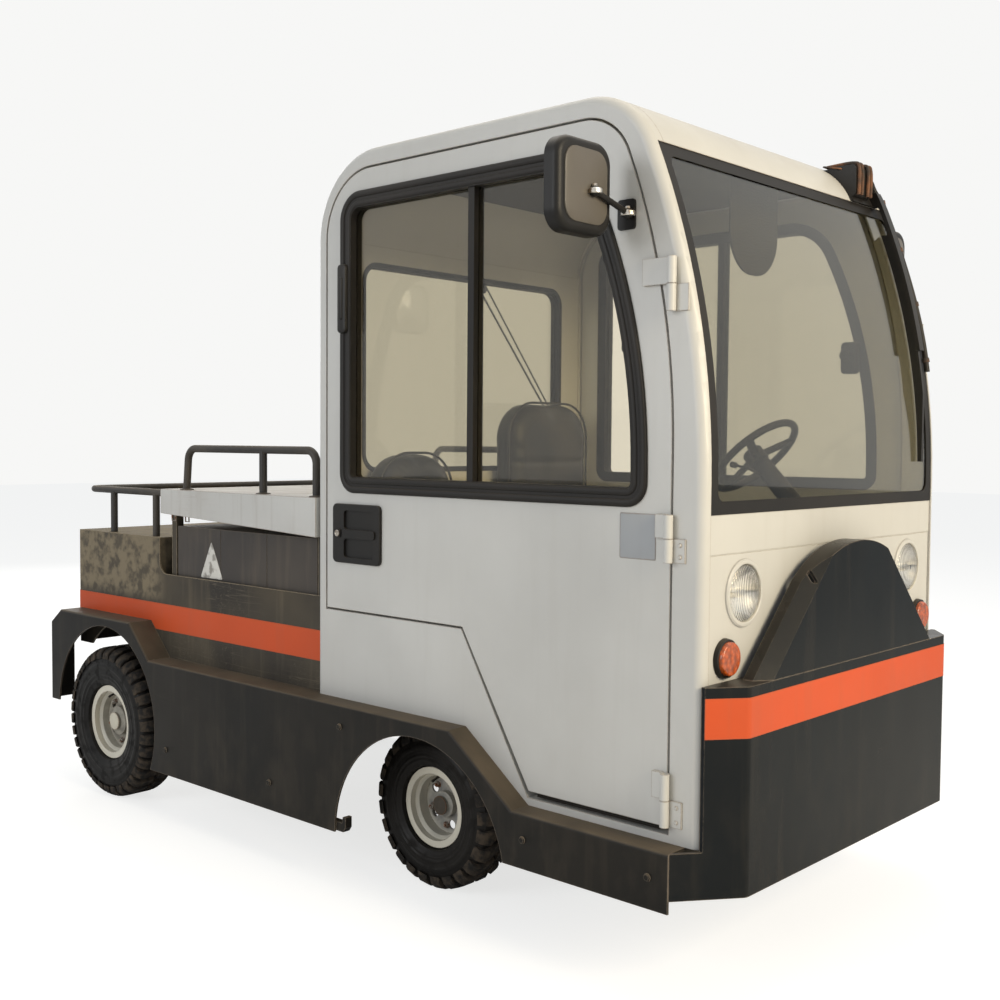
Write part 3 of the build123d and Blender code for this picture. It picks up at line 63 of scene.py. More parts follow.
backdrop = (0.93, 0.93, 0.92, 1.0)
sky_light = (0.90, 0.95, 1.0, 1.0)
sky_strength = 0.40

world = bpy.data.worlds.new("studio")
world.use_nodes = True
world.node_tree.nodes.clear()
rays = add_node(world.node_tree, "ShaderNodeLightPath")
mirrored = add_node(
    world.node_tree, "ShaderNodeMath", {0: rays.outputs["Is Camera Ray"],
        1: rays.outputs["Is Transmission Ray"]}, operation="MAXIMUM")
seen = add_node(
    world.node_tree, "ShaderNodeMath", {0: mirrored.outputs[0], 1: rays.outputs["Is Glossy Ray"]},
    operation="MAXIMUM")
lit = add_node(world.node_tree, "ShaderNodeBackground",
    {"Color": sky_light, "Strength": sky_strength})
shown = add_node(world.node_tree, "ShaderNodeBackground", {"Color": backdrop, "Strength": 1.0})
mixed = add_node(world.node_tree, "ShaderNodeMixShader",
    {0: seen.outputs[0], 1: lit.outputs[0], 2: shown.outputs[0]})
add_node(world.node_tree, "ShaderNodeOutputWorld", {"Surface": mixed.outputs[0]})
bpy.context.scene.world = world
bpy.context.scene.view_settings.view_transform = "Standard"

floor_mesh = bpy.data.meshes.new("floor")
reach = 30.0
floor_colour = 0.80
floor_colour_seen = 0.42    # the camera sees a darker floor with the glow below added
floor_glow_seen = 0.79
floor_mesh.from_pydata(
    [(-reach, -reach, 0), (reach, -reach, 0), (reach, reach, 0), (-reach, reach, 0)], [],
    [(0, 1, 2, 3)])
floor = bpy.data.objects.new("floor", floor_mesh)
bpy.context.scene.collection.objects.link(floor)
floor_paint = bpy.data.materials.new("pale floor")
floor_paint.use_nodes = True
floor_shader = floor_paint.node_tree.nodes["Principled BSDF"]
floor_shader.inputs["Roughness"].default_value = 0.9
floor_shader.inputs["Specular IOR Level"].default_value = 0.0
floor_shader.inputs["Emission Color"].default_value = backdrop
floor_rays = add_node(floor_paint.node_tree, "ShaderNodeLightPath")
floor_glow = add_node(floor_paint.node_tree, "ShaderNodeMath",
    {0: floor_rays.outputs["Is Camera Ray"], 1: floor_glow_seen}, operation="MULTIPLY")
floor_tone = add_node(floor_paint.node_tree, "ShaderNodeMapRange",
    {"Value": floor_rays.outputs["Is Camera Ray"], "To Min": floor_colour,
        "To Max": floor_colour_seen})
floor_paint.node_tree.links.new(floor_glow.outputs[0], floor_shader.inputs["Emission Strength"])
floor_paint.node_tree.links.new(floor_tone.outputs[0], floor_shader.inputs["Base Color"])
floor_mesh.materials.append(floor_paint)

lamps = [  # name, place, aim, size, watts, colour
    ("front", (7.0, -0.6, 3.6), (0.9, 0.0, 1.0), 3.0, 410.0, (1.0, 0.86, 0.62)),
    ("side", (-1.5, -8.0, 3.4), (0.0, 0.0, 0.8), 4.0, 215.0, (0.95, 0.97, 1.0)),
    ("top", (-0.5, 1.0, 6.5), (0.0, 0.0, 1.0), 5.0, 120.0, (1.0, 0.95, 0.85)),
    ("behind", (-7.0, 4.0, 4.0), (0.0, 0.0, 1.0), 4.0, 170.0, (1.0, 0.96, 0.90)),
]
for name, place, aim, size, watts, colour in lamps:
    light = bpy.data.lights.new(name, "AREA")
    light.size = size
    light.energy = watts
    light.color = colour
    lamp = bpy.data.objects.new(name, light)
    lamp.visible_camera = lamp.visible_transmission = False
    lamp.location = place
    lamp.rotation_mode = "QUATERNION"
    lamp.rotation_quaternion = (Vector(aim) - Vector(place)).to_track_quat("-Z", "Y")
    bpy.context.scene.collection.objects.link(lamp)

camera_data = bpy.data.cameras.new("camera")
camera_data.lens = 44.5
camera_data.sensor_width = 36.0
camera = bpy.data.objects.new("camera", camera_data)
camera_heading = 42.53      # degrees from +Y towards -X
camera_pitch = 2.70         # degrees down
camera_roll = 0.44
camera_place = (2.981, -2.954, 1.288)
camera.matrix_world = Matrix.Translation(camera_place) @ Matrix.Rotation(
    math.radians(camera_heading), 4, "Z") @ Matrix.Rotation(math.radians(90 - camera_pitch), 4,
    "X") @ Matrix.Rotation(math.radians(camera_roll), 4, "Z")
bpy.context.scene.collection.objects.link(camera)
bpy.context.scene.camera = camera

# ---------------------------------------------------------------- frame and running gear
# Box-section frame, axles and steering, welded and painted black, then coated
# in road dirt. The drawbar coupling at the rear has rusted.


def new_group(name, inputs, outputs):
    """Start a shader node group with float or colour sockets."""
    group = bpy.data.node_groups.new(name, "ShaderNodeTree")
    for title, kind, value in inputs:
        socket = group.interface.new_socket(title, in_out="INPUT", socket_type="NodeSocket" + kind)
        socket.default_value = value
    for title, kind in outputs:
        group.interface.new_socket(title, in_out="OUTPUT", socket_type="NodeSocket" + kind)
    return group, group.nodes.new("NodeGroupInput"), group.nodes.new("NodeGroupOutput")


def ramp(tree, value, low, high, out_low=0.0, out_high=1.0):
    """Smooth step of a value between two levels."""
    made = add_node(
        tree, "ShaderNodeMapRange", {"Value": value, "From Min": low, "From Max": high,
            "To Min": out_low, "To Max": out_high}, interpolation_type="SMOOTHSTEP")
    return made.outputs["Result"]


def own_place(tree):
    """Object coordinates."""
    return add_node(tree, "ShaderNodeTexCoord").outputs["Object"]


def maths(tree, operation, first, second=0.0):
    """Value of one Math node."""
    made = add_node(tree, "ShaderNodeMath", {0: first, 1: second}, operation=operation)
    return made.outputs[0]


def cloud(tree, scale, detail=4.0, stretch=None, turn=None, distortion=0.0):
    """Noise on Object coordinates, stretched and turned if asked."""
    place = own_place(tree)
    if stretch or turn:
        place = add_node(
            tree, "ShaderNodeMapping", {"Vector": place, "Scale": stretch or (1, 1, 1),
                "Rotation": turn or (0, 0, 0)}).outputs[0]
    made = add_node(
        tree, "ShaderNodeTexNoise", {"Vector": place, "Scale": scale, "Detail": detail,
            "Distortion": distortion})
    return made.outputs["Fac"]


worn_edge, ends, out = new_group(
    "worn edge", [("Width", "Float", 0.006), ("Amount", "Float", 0.5), ("Breakup", "Float", 30.0)],
    [("Mask", "Float")])
rounded = add_node(worn_edge, "ShaderNodeBevel", {"Radius": ends.outputs["Width"]}, samples=6)
flat = add_node(worn_edge, "ShaderNodeNewGeometry")
likeness = add_node(
    worn_edge, "ShaderNodeVectorMath", {0: rounded.outputs[0], 1: flat.outputs["Normal"]},
    operation="DOT_PRODUCT")
turned_away = maths(worn_edge, "SUBTRACT", 1.0, likeness.outputs["Value"])
noise = add_node(
    worn_edge, "ShaderNodeTexNoise", {"Vector": own_place(worn_edge),
        "Scale": ends.outputs["Breakup"], "Detail": 6.0, "Roughness": 0.65})
ragged = maths(worn_edge, "ADD", maths(worn_edge, "MULTIPLY", turned_away, 3.0),
    noise.outputs["Fac"])
level = maths(worn_edge, "SUBTRACT", 1.25, ends.outputs["Amount"])
worn_edge.links.new(ramp(worn_edge, ragged, level, maths(worn_edge, "ADD", level, 0.12)),
    out.inputs["Mask"])

road_dust, ends, out = new_group(
    "road dust", [("Top", "Float", 0.7), ("Spray", "Float", 0.5), ("Spray height", "Float", 0.7),
        ("Film", "Float", 0.15)], [("Mask", "Float")])
facing = add_node(
    road_dust, "ShaderNodeSeparateXYZ", {0: add_node(road_dust,
            "ShaderNodeNewGeometry").outputs["Normal"]})
height = add_node(road_dust, "ShaderNodeSeparateXYZ", {0: own_place(road_dust)})
settled = maths(road_dust, "MULTIPLY", ramp(road_dust, facing.outputs["Z"], 0.25, 0.9),
    ends.outputs["Top"])
settled = maths(
    road_dust, "MULTIPLY", settled, ramp(road_dust, cloud(road_dust, 9.0, 8.0), 0.25, 0.72, 0.6,
        1.0))
low = maths(road_dust, "DIVIDE", height.outputs["Z"], ends.outputs["Spray height"])
spray = maths(road_dust, "MULTIPLY", ramp(road_dust, low, 0.2, 1.1, 1.0, 0.0),
    ends.outputs["Spray"])
spray = maths(
    road_dust, "MULTIPLY", spray, ramp(road_dust, cloud(road_dust, 14.0, 9.0, (1, 1, 0.55)), 0.35,
        0.72))
film = maths(road_dust, "MULTIPLY", ramp(road_dust, cloud(road_dust, 2.4, 6.0), 0.35, 0.7),
    ends.outputs["Film"])
total = maths(road_dust, "MAXIMUM", maths(road_dust, "MAXIMUM", settled, spray), film)
road_dust.links.new(total, out.inputs["Mask"])

scratches, ends, out = new_group("scratches", [("Scale", "Float", 1.0), ("Share", "Float", 0.4)],
    [("Mask", "Float")])
lines = []
for turn, stretch in (((0.3, 0.1, 0.5), (1.2, 40, 40)), ((0.1, 0.9, 0.2), (38, 1.5, 44))):
    strand = cloud(scratches, ends.outputs["Scale"], 2.0, stretch, turn, 0.4)
    off = maths(scratches, "ABSOLUTE", maths(scratches, "SUBTRACT", strand, 0.5))
    lines.append(ramp(scratches, off, 0.003, 0.009, 1.0, 0.0))
both = maths(scratches, "MAXIMUM", lines[0], lines[1])
where = ramp(
    scratches, cloud(scratches, 3.1, 3.0), maths(scratches, "SUBTRACT", 1.0, ends.outputs["Share"]),
    1.0)
scratches.links.new(maths(scratches, "MULTIPLY", both, where), out.inputs["Mask"])

run_marks, ends, out = new_group("run marks", [("Amount", "Float", 0.3), ("Pitch", "Float", 26.0)],
    [("Mask", "Float")])
sweep = add_node(
    run_marks, "ShaderNodeMapping", {"Vector": own_place(run_marks), "Scale": (1, 1, 0.07)})
trails = add_node(
    run_marks, "ShaderNodeTexNoise", {"Vector": sweep.outputs[0], "Scale": ends.outputs["Pitch"],
        "Detail": 5.0, "Roughness": 0.6})
upright = add_node(
    run_marks, "ShaderNodeSeparateXYZ", {0: add_node(run_marks,
            "ShaderNodeNewGeometry").outputs["Normal"]})
steep = ramp(run_marks, maths(run_marks, "ABSOLUTE", upright.outputs["Z"]), 0.2, 0.6, 1.0, 0.0)
streaked = maths(run_marks, "MULTIPLY", ramp(run_marks, trails.outputs["Fac"], 0.48, 0.75),
    ends.outputs["Amount"])
run_marks.links.new(maths(run_marks, "MULTIPLY", streaked, steep), out.inputs["Mask"])

paint_skin, ends, out = new_group("paint skin", [("Peel", "Float", 0.15), ("Waves", "Float", 0.3)],
    [("Height", "Float")])
peel = maths(paint_skin, "MULTIPLY", cloud(paint_skin, 420.0, 2.0), ends.outputs["Peel"])
waves = maths(paint_skin, "MULTIPLY", cloud(paint_skin, 3.2, 2.0, (1, 1, 0.3)),
    ends.outputs["Waves"])
paint_skin.links.new(maths(paint_skin, "ADD", peel, maths(paint_skin, "MULTIPLY", waves, 12.0)),
    out.inputs["Height"])


def use_group(tree, group, **inputs):
    """Result of a shader group, with its inputs named by keyword."""
    made = add_node(tree, "ShaderNodeGroup", node_tree=group)
    for key, value in inputs.items():
        made.inputs[key.replace("_", " ")].default_value = value
    return made.outputs[0]


def blend_colour(tree, mask, below, above):
    """One colour over another through a mask."""
    made = add_node(tree, "ShaderNodeMix", data_type="RGBA")
    for socket, value in ((made.inputs[0], mask), (made.inputs[6], below), (made.inputs[7], above)):
        if isinstance(value, bpy.types.NodeSocket):
            tree.links.new(value, socket)
        else:
            socket.default_value = value
    return made.outputs[2]


def new_material(name, roughness=0.5, metallic=0.0, shine=0.5):
    """A material with one Principled shader, returned with its tree."""
    made = bpy.data.materials.new(name)
    made.use_nodes = True
    shader = made.node_tree.nodes["Principled BSDF"]
    shader.inputs["Roughness"].default_value = roughness
    shader.inputs["Metallic"].default_value = metallic
    shader.inputs["Specular IOR Level"].default_value = shine
    return made, made.node_tree, shader


def two_tone(tree, shader, mask, below, above):
    """Give a shader one colour over another through a mask."""
    tree.links.new(blend_colour(tree, mask, below, above), shader.inputs["Base Color"])


def bump(tree, shader, height, distance, strength=1.0):
    """Raise the surface by a height, in the normal alone."""
    made = add_node(
        tree, "ShaderNodeBump", {"Height": height, "Distance": distance, "Strength": strength})
    tree.links.new(made.outputs[0], shader.inputs["Normal"])


dust_colour = (0.17, 0.135, 0.095, 1)
rust_colour = (0.16, 0.065, 0.028, 1)


def painted_plate(name, colour, chip, edge, spray, top, film, scratched, gloss,
                  streaks=0.2, shine=0.5, dust=dust_colour, caked_behind=None):
    """Old paint over sheet steel: chipped edges, scratches, run marks and dust."""
    material, tree, shader = new_material(name, shine=shine)
    mottled = blend_colour(tree, ramp(tree, cloud(tree, 1.7, 5.0), 0.3, 0.7), colour,
        tuple(c * 0.88 for c in colour[:3]) + (1,))
    scored = use_group(tree, scratches, Scale=1.0, Share=scratched)
    mottled = blend_colour(tree, maths(tree, "MULTIPLY", scored, 0.5), mottled, chip)
    worn = use_group(tree, worn_edge, Width=0.006, Amount=edge, Breakup=34.0)
    mottled = blend_colour(tree, worn, mottled, chip)
    runs = use_group(tree, run_marks, Amount=streaks, Pitch=26.0)
    mottled = blend_colour(tree, runs, mottled, dust)
    dirt = use_group(tree, road_dust, Top=top, Spray=spray, Spray_height=0.75, Film=film)
    mottled = blend_colour(tree, dirt, mottled, dust)
    if caked_behind is not None:
        spot = add_node(tree, "ShaderNodeSeparateXYZ", {0: own_place(tree)})
        caked = maths(
            tree, "MULTIPLY", ramp(tree, spot.outputs["X"], caked_behind - 0.12, caked_behind, 0.9,
                0.0), ramp(tree, spot.outputs["Z"], 0.7, 0.76))
        caked = maths(
            tree, "MULTIPLY", caked, ramp(tree, cloud(tree, 30.0, 9.0), 0.34, 0.6, 0.25, 1.0))
        mottled = blend_colour(tree, caked, mottled, dust)
    tree.links.new(mottled, shader.inputs["Base Color"])
    matt = maths(tree, "MAXIMUM", maths(tree, "MAXIMUM", dirt, worn), runs)
    rough = maths(tree, "ADD", maths(tree, "MULTIPLY", matt, 0.45),
        ramp(tree, cloud(tree, 6.0, 6.0), 0.3, 0.7, gloss, gloss + 0.08))
    tree.links.new(maths(tree, "MINIMUM", rough, 0.95), shader.inputs["Roughness"])
    bump(tree, shader, use_group(tree, paint_skin, Peel=0.12, Waves=0.3), 0.0012, 0.6)
    return material


def dress(material, *nodes):
    """Give CAD nodes a finish."""
    for name in nodes:
        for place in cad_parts[name].material_slots:
            place.material = material


chassis_black = painted_plate("chassis paint", (0.014, 0.014, 0.014, 1), rust_colour, edge=0.42,
    spray=0.5, top=0.6, film=0.3, scratched=0.2, gloss=0.6, shine=0.3)
dress(chassis_black, "frame", "front_axle", "rear_axle", "knuckle_right", "knuckle_left", "tie_rod",
    "cab_floor")

rusted, tree, shader = new_material("rusted casting", 0.85)
patches = ramp(tree, cloud(tree, 22.0, 9.0), 0.36, 0.66)
two_tone(tree, shader, patches, (0.035, 0.028, 0.024, 1), (0.17, 0.075, 0.035, 1))
bump(tree, shader, cloud(tree, 130.0, 6.0), 0.0016, 0.8)
dress(rusted, "tow_coupling", "tow_pin")

# ---------------------------------------------------------------- lower body
# Bumper, apron and skirts are folded steel plate in anthracite paint,
# the battery box and the rear body the same, but scuffed and dusty. Edges are
# chipped, ledges carry road dust, and bolts hold the skirts to the frame.
anthracite = (0.0080, 0.0105, 0.0130, 1)
chipped = (0.15, 0.125, 0.10, 1)
dark_plate = painted_plate("anthracite paint", anthracite, chipped, edge=0.34, spray=0.05, top=0.22,
    film=0.02, scratched=0.35, gloss=0.17, streaks=0.04, shine=0.1)
# The skirts' copy of the anthracite paint is tinted warmer than the bumper's: painted warm light.
skirt_plate_warm_lit = painted_plate("anthracite skirt paint", (0.0105, 0.0102, 0.0095, 1), chipped,
    edge=0.34, spray=0.1, top=0.6, film=0.05, scratched=0.4, gloss=0.36, streaks=0.06, shine=0.14)
box_plate = painted_plate("battery box paint", (0.034, 0.029, 0.026, 1), chipped, edge=0.3,
    spray=0.0, top=0.6, film=0.18, scratched=0.4, gloss=0.42, streaks=0.25, shine=0.35)
rear_plate = painted_plate("rear body paint", (0.026, 0.023, 0.02, 1), (0.34, 0.28, 0.2, 1),
    edge=0.46, spray=0.1, top=0.8, film=0.25, scratched=0.6, gloss=0.5, streaks=0.2, shine=0.2,
    dust=(0.21, 0.17, 0.11, 1), caked_behind=-0.74)
dress(dark_plate, "bumper", "apron")
dress(skirt_plate_warm_lit, "skirts")
dress(box_plate, "battery")
dress(rear_plate, "rear_body")


def lofted(rings, capped=True, closed=False):
    """Skin over rings of as many points each, with flat ends or closed on itself."""
    count = len(rings[0])
    points = [point for ring in rings for point in ring]
    faces = []
    for level in range(len(rings) if closed else len(rings) - 1):
        here, there = level * count, (level + 1) % len(rings) * count
        for i in range(count):
            j = (i + 1) % count
            faces.append((here + i, here + j, there + j, there + i))
    if capped and not closed:
        faces.append(tuple(range(count)))
        faces.append(tuple(range(len(points) - count, len(points))))
    return points, faces


def as_mesh(name, shapes, material, sharp=35.0):
    """One mesh of several shapes, outsides out, smooth up to a sharp angle."""
    made = bpy.data.meshes.new(name)
    work = bmesh.new()
    for points, faces in shapes:
        corners = [work.verts.new(point) for point in points]
        for face in faces:
            work.faces.new([corners[i] for i in face])
    bmesh.ops.remove_doubles(work, verts=work.verts, dist=0.00002)
    bmesh.ops.dissolve_degenerate(work, edges=work.edges, dist=0.00001)
    bmesh.ops.recalc_face_normals(work, faces=work.faces)
    for face in work.faces:
        face.smooth = True
    work.to_mesh(made)
    work.free()
    made.set_sharp_from_angle(angle=math.radians(sharp))
    if material:
        made.materials.append(material)
    return made


def fit(name, mesh, body):
    """Put a finished mesh in the scene and let it ride on a body."""
    piece = bpy.data.objects.new(name, mesh)
    bpy.context.scene.collection.objects.link(piece)
    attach(piece, body)
    return piece


def fit_shapes(name, shapes, material, body):
    """Make one mesh of shapes and let it ride on a body."""
    return fit(name, as_mesh(name, shapes, material), body)


def rounded(width, height, radius, per_corner=6):
    """Corner points of a rounded rectangle about its middle."""
    points = []
    for turn, (x, y) in enumerate(((1, 1), (-1, 1), (-1, -1), (1, -1))):
        for step in range(per_corner + 1):
            angle = math.radians(90 * (turn + step / per_corner))
            points.append(
                (x * (width / 2 - radius) + radius * math.cos(angle),
                    y * (height / 2 - radius) + radius * math.sin(angle)))
    return points


def slab(outline_at, origin, across, up, depth, edge):
    """Plate with softened front edges: outline_at gives its outline at an inset."""
    origin, across, up = Vector(origin), Vector(across), Vector(up)
    out_of = across.cross(up)
    rings = []
    for inset, level in ((0.0, 0.0), (0.0, depth - edge),
                         (edge * 0.3, depth - edge * 0.3), (edge, depth)):
        rings.append([origin + across * x + up * y + out_of * level for x, y in outline_at(inset)])
    return lofted(rings)


def plate(width, height, radius, origin, across, up, depth, edge, per_corner=6):
    """Rounded rectangle with softened front edges."""
    return slab(lambda e: rounded(width - 2 * e, height - 2 * e, radius, per_corner),
                origin, across, up, depth, edge)


def lathe(profile, centre, along, steps=64, closed=False):
    """Skin of a profile of (along, radius) points turned round an axis."""
    centre, along = Vector(centre), Vector(along).normalized()
    side = along.orthogonal().normalized()
    other = along.cross(side)
    rings = []
    for distance, radius in profile:
        rings.append(
            [centre + along * distance + (side * math.cos(a) + other * math.sin(a)) * max(radius,
                    0.00001) for a in (2 * math.pi * i / steps for i in range(steps))])
    return lofted(rings, capped=not closed, closed=closed)


def pipe(path, radius, sides=10):
    """Round tube along a path of points, with flat ends."""
    path = [Vector(point) for point in path]
    side = (path[1] - path[0]).orthogonal().normalized()
    rings = []
    for i, point in enumerate(path):
        ahead = (path[min(i + 1, len(path) - 1)] - path[max(i - 1, 0)]).normalized()
        side = (side - ahead * side.dot(ahead)).normalized()
        other = ahead.cross(side)
        rings.append(
            [point + (side * math.cos(a) + other * math.sin(a)) * radius
                for a in (2 * math.pi * k / sides for k in range(sides))])
    return lofted(rings)


def smooth_path(points, per_run=8):
    """Points along a smooth curve through the given ones."""
    knots = [Vector(p) for p in points]
    knots = [2 * knots[0] - knots[1]] + knots + [2 * knots[-1] - knots[-2]]
    path = []
    for a, b, c, d in zip(knots, knots[1:], knots[2:], knots[3:]):
        for step in range(per_run):
            t = step / per_run
            path.append(
                0.5 * (2 * b + (c - a) * t + (2 * a - 5 * b + 4 * c - d) * t * t
                    + (3 * b - a - 3 * c + d) * t ** 3))
    return path + [knots[-2]]


def parts_tree(name, inputs, arrange):
    """Geometry Nodes tree that repeats the mesh it is given."""
    tree = bpy.data.node_groups.new(name, "GeometryNodeTree")
    tree.interface.new_socket("Geometry", in_out="INPUT", socket_type="NodeSocketGeometry")
    for title, kind, value in inputs:
        socket = tree.interface.new_socket(title, in_out="INPUT", socket_type="NodeSocket" + kind)
        socket.default_value = value
    tree.interface.new_socket("Material", in_out="INPUT", socket_type="NodeSocketMaterial")
    tree.interface.new_socket("Geometry", in_out="OUTPUT", socket_type="NodeSocketGeometry")
    given, result = tree.nodes.new("NodeGroupInput"), tree.nodes.new("NodeGroupOutput")
    placed = arrange(tree, given)
    solid = add_node(tree, "GeometryNodeRealizeInstances",
        {"Geometry": placed.outputs["Instances"]})
    finish = add_node(
        tree, "GeometryNodeSetMaterial", {"Geometry": solid.outputs["Geometry"],
            "Material": given.outputs["Material"]})
    tree.links.new(finish.outputs["Geometry"], result.inputs["Geometry"])
    return tree


def at_vertices(tree, given):
    """A domed bolt head at each vertex, facing as Facing says."""
    head = add_node(
        tree, "GeometryNodeMeshCone", {"Vertices": given.outputs["Sides"],
            "Radius Top": maths(tree, "MULTIPLY", given.outputs["Head radius"], 0.72),
            "Radius Bottom": given.outputs["Head radius"], "Depth": given.outputs["Head height"]})
    return add_node(tree, "GeometryNodeInstanceOnPoints",
        {"Points": add_node(tree, "GeometryNodeMeshToPoints",
                {"Mesh": given.outputs["Geometry"]}).outputs["Points"],
            "Instance": head.outputs["Mesh"], "Rotation": given.outputs["Facing"]})


bolt_heads = parts_tree(
    "bolt heads", [("Sides", "Int", 6), ("Head radius", "Float", 0.009),
        ("Head height", "Float", 0.006), ("Facing", "Vector", (0, 0, 0))], at_vertices)


def laid_out(name, mesh, tree, material, **settings):
    """Run a Geometry Nodes tree over a mesh and keep the plain result."""
    holder = bpy.data.objects.new(name, mesh)
    bpy.context.scene.collection.objects.link(holder)
    modifier = holder.modifiers.new("layout", "NODES")
    modifier.node_group = tree
    settings["Material"] = material
    for item in tree.interface.items_tree:
        wanted = item.name.replace(" ", "_")
        if item.in_out == "INPUT" and wanted in settings:
            modifier[item.identifier] = settings[wanted]
    seen_by = bpy.context.evaluated_depsgraph_get()
    result = bpy.data.meshes.new_from_object(holder.evaluated_get(seen_by))
    holder.modifiers.clear()
    bpy.data.objects.remove(holder)
    result.name = name
    return result


def join(name, *meshes):
    """One mesh of several with the same finish."""
    work = bmesh.new()
    for mesh in meshes:
        work.from_mesh(mesh)
    made = meshes[0].copy()
    made.name = name
    work.to_mesh(made)
    work.free()
    made.set_sharp_from_angle(angle=math.radians(35))
    return made


def bolts(name, places, facing, material, radius=0.009, height=0.006, sides=6):
    """Bolt heads at places, on one mesh."""
    spots = bpy.data.meshes.new(name)
    spots.from_pydata(places, [], [])
    return laid_out(name, spots, bolt_heads, material, Sides=sides, Head_radius=radius,
        Head_height=height, Facing=facing)


side_facing = {-1: (math.radians(90), 0, 0), 1: (math.radians(-90), 0, 0)}
rear_facing = (0, math.radians(-90), 0)

bolt_steel, tree, shader = new_material("dull bolt steel", 0.5, 0.7)
two_tone(tree, shader, ramp(tree, cloud(tree, 90.0, 5.0), 0.4, 0.65), (0.3, 0.28, 0.25, 1),
    rust_colour)

skirt_face_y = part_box("skirts")[1].y
bolt_places = {side: [(x, side * (skirt_face_y + 0.002), z) for x,
        z in ((-0.62, 0.245), (-0.05, 0.245), (0.28, 0.47), (0.98, 0.3), (1.36, 0.3))]
    for side in (-1, 1)}
skirt_bolts = join(
    "skirt_bolts", *(bolts(f"skirt bolts {side}", bolt_places[side], side_facing[side], skirt_plate_warm_lit,
            radius=0.01, height=0.005, sides=16) for side in (-1, 1)))
fit("skirt_bolts", skirt_bolts, "chassis")

# A plain reflecting triangle on each side of the battery box, with no sign.
sign_white, tree, shader = new_material("worn reflecting sheet", 0.4)
worn_patch = ramp(tree, cloud(tree, 38.0, 9.0), 0.48, 0.66)
two_tone(tree, shader, worn_patch, (0.62, 0.6, 0.55, 1), (0.26, 0.24, 0.21, 1))
box_low, box_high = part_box("battery")


def triangle_at(inset, base=0.126, tall=0.124):
    corners = [(-base / 2 + 1.7 * inset, inset), (base / 2 - 1.7 * inset, inset),
        (0.0, tall - 2.2 * inset)]
    ring = []
    for i, corner in enumerate(corners):
        here, before, after = Vector(corner), Vector(corners[i - 1]), Vector(corners[(i + 1) % 3])
        start, end = here + (before - here) * 0.07, here + (after - here) * 0.07
        for t in (0.0, 0.35, 0.65, 1.0):
            ring.append((1 - t) ** 2 * start + 2 * t * (1 - t) * here + t * t * end)
    return [(point.x, point.y) for point in ring]


sign_x, sign_z = -0.508, 0.824
signs = [slab(triangle_at, (sign_x, box_low.y, sign_z), (1, 0, 0), (0, 0, 1), 0.0016, 0.0006),
    slab(triangle_at, (sign_x, box_high.y, sign_z), (-1, 0, 0), (0, 0, 1), 0.0016, 0.0006)]
fit_shapes("battery_signs", signs, sign_white, "chassis")

# ---------------------------------------------------------------- stripe
# An orange band is painted round the bumper and the rear body, plain all the
# way round and scuffed where loads have rubbed it.
orange = painted_plate("orange band", (0.6, 0.085, 0.024, 1), (0.42, 0.1, 0.045, 1), edge=0.2,
    spray=0.05, top=0.2, film=0.08, scratched=0.35, gloss=0.3, streaks=0.08, shine=0.15)
dress(orange, "stripes")

# ---------------------------------------------------------------- cab shell
# Pale grey two-pack paint on the cab's tubes and panels, the doors and the
# battery cover. The panels are cleaner than the lower body, with thin chips.
pale_grey = (0.56, 0.555, 0.53, 1)
grey_chip = (0.26, 0.20, 0.15, 1)
cab_grey = painted_plate("cab paint", pale_grey, grey_chip, edge=0.14, spray=0.14, top=0.25,
    film=0.06, scratched=0.25, gloss=0.32, streaks=0.05, dust=(0.27, 0.23, 0.17, 1))
lid_grey = painted_plate("battery cover paint", pale_grey, grey_chip, edge=0.3, spray=0.0, top=0.6,
    film=0.2, scratched=0.5, gloss=0.42, streaks=0.25, dust=(0.23, 0.185, 0.14, 1))
dress(cab_grey, "cab_side_right", "cab_side_left", "roof", "cab_rear_wall", "front_panel",
    "door_right", "door_left")
dress(lid_grey, "battery_cover")

# ---------------------------------------------------------------- doors
# Steel doors hang on three lift-off hinges each. The hinge leaves are screwed
# to the front pillar; at the middle hinge the older, wider leaf has left a
# bare primer patch on the door. A ribbed rubber strip seals the sill.
hinge_x = 1.367
hinges = [(0.405, 0.529), (1.015, 1.125), (1.586, 1.709)]     # low and high end of each
skin_y = 0.614
leaf_t = 0.005
hands = ((-1, "right"), (1, "left"))

primer = painted_plate("bare primer", (0.34, 0.355, 0.37, 1), grey_chip, edge=0.2, spray=0.0,
    top=0.2, film=0.1, scratched=0.4, gloss=0.5, streaks=0.05)
black_rubber, tree, shader = new_material("black rubber", 0.5, shine=0.25)
dirt = use_group(tree, road_dust, Top=0.35, Spray=0.05, Spray_height=1.0, Film=0.10)
two_tone(tree, shader, dirt, (0.009, 0.0082, 0.0075, 1), (0.09, 0.07, 0.05, 1))
bump(tree, shader, cloud(tree, 260.0, 3.0), 0.0006, 0.5)


def in_row(tree, given):
    """The given mesh again and again, each a Step further on from the first."""
    number = add_node(tree, "GeometryNodeInputIndex").outputs[0]
    place = add_node(tree, "ShaderNodeVectorMath", {0: given.outputs["Step"], "Scale": number},
        operation="SCALE")
    spots = add_node(
        tree, "GeometryNodePoints", {"Count": given.outputs["Count"], "Position": place.outputs[0]})
    return add_node(tree, "GeometryNodeInstanceOnPoints",
        {"Points": spots.outputs[0], "Instance": given.outputs["Geometry"]})


row_of_parts = parts_tree("row of parts", [("Count", "Int", 3), ("Step", "Vector", (0.01, 0, 0))],
    in_row)


def mirrored_side(side, shapes):
    """The right-hand shapes, or their mirror image for the left."""
    return [([(x, -side * y, z) for x, y, z in points], faces) for points, faces in shapes]


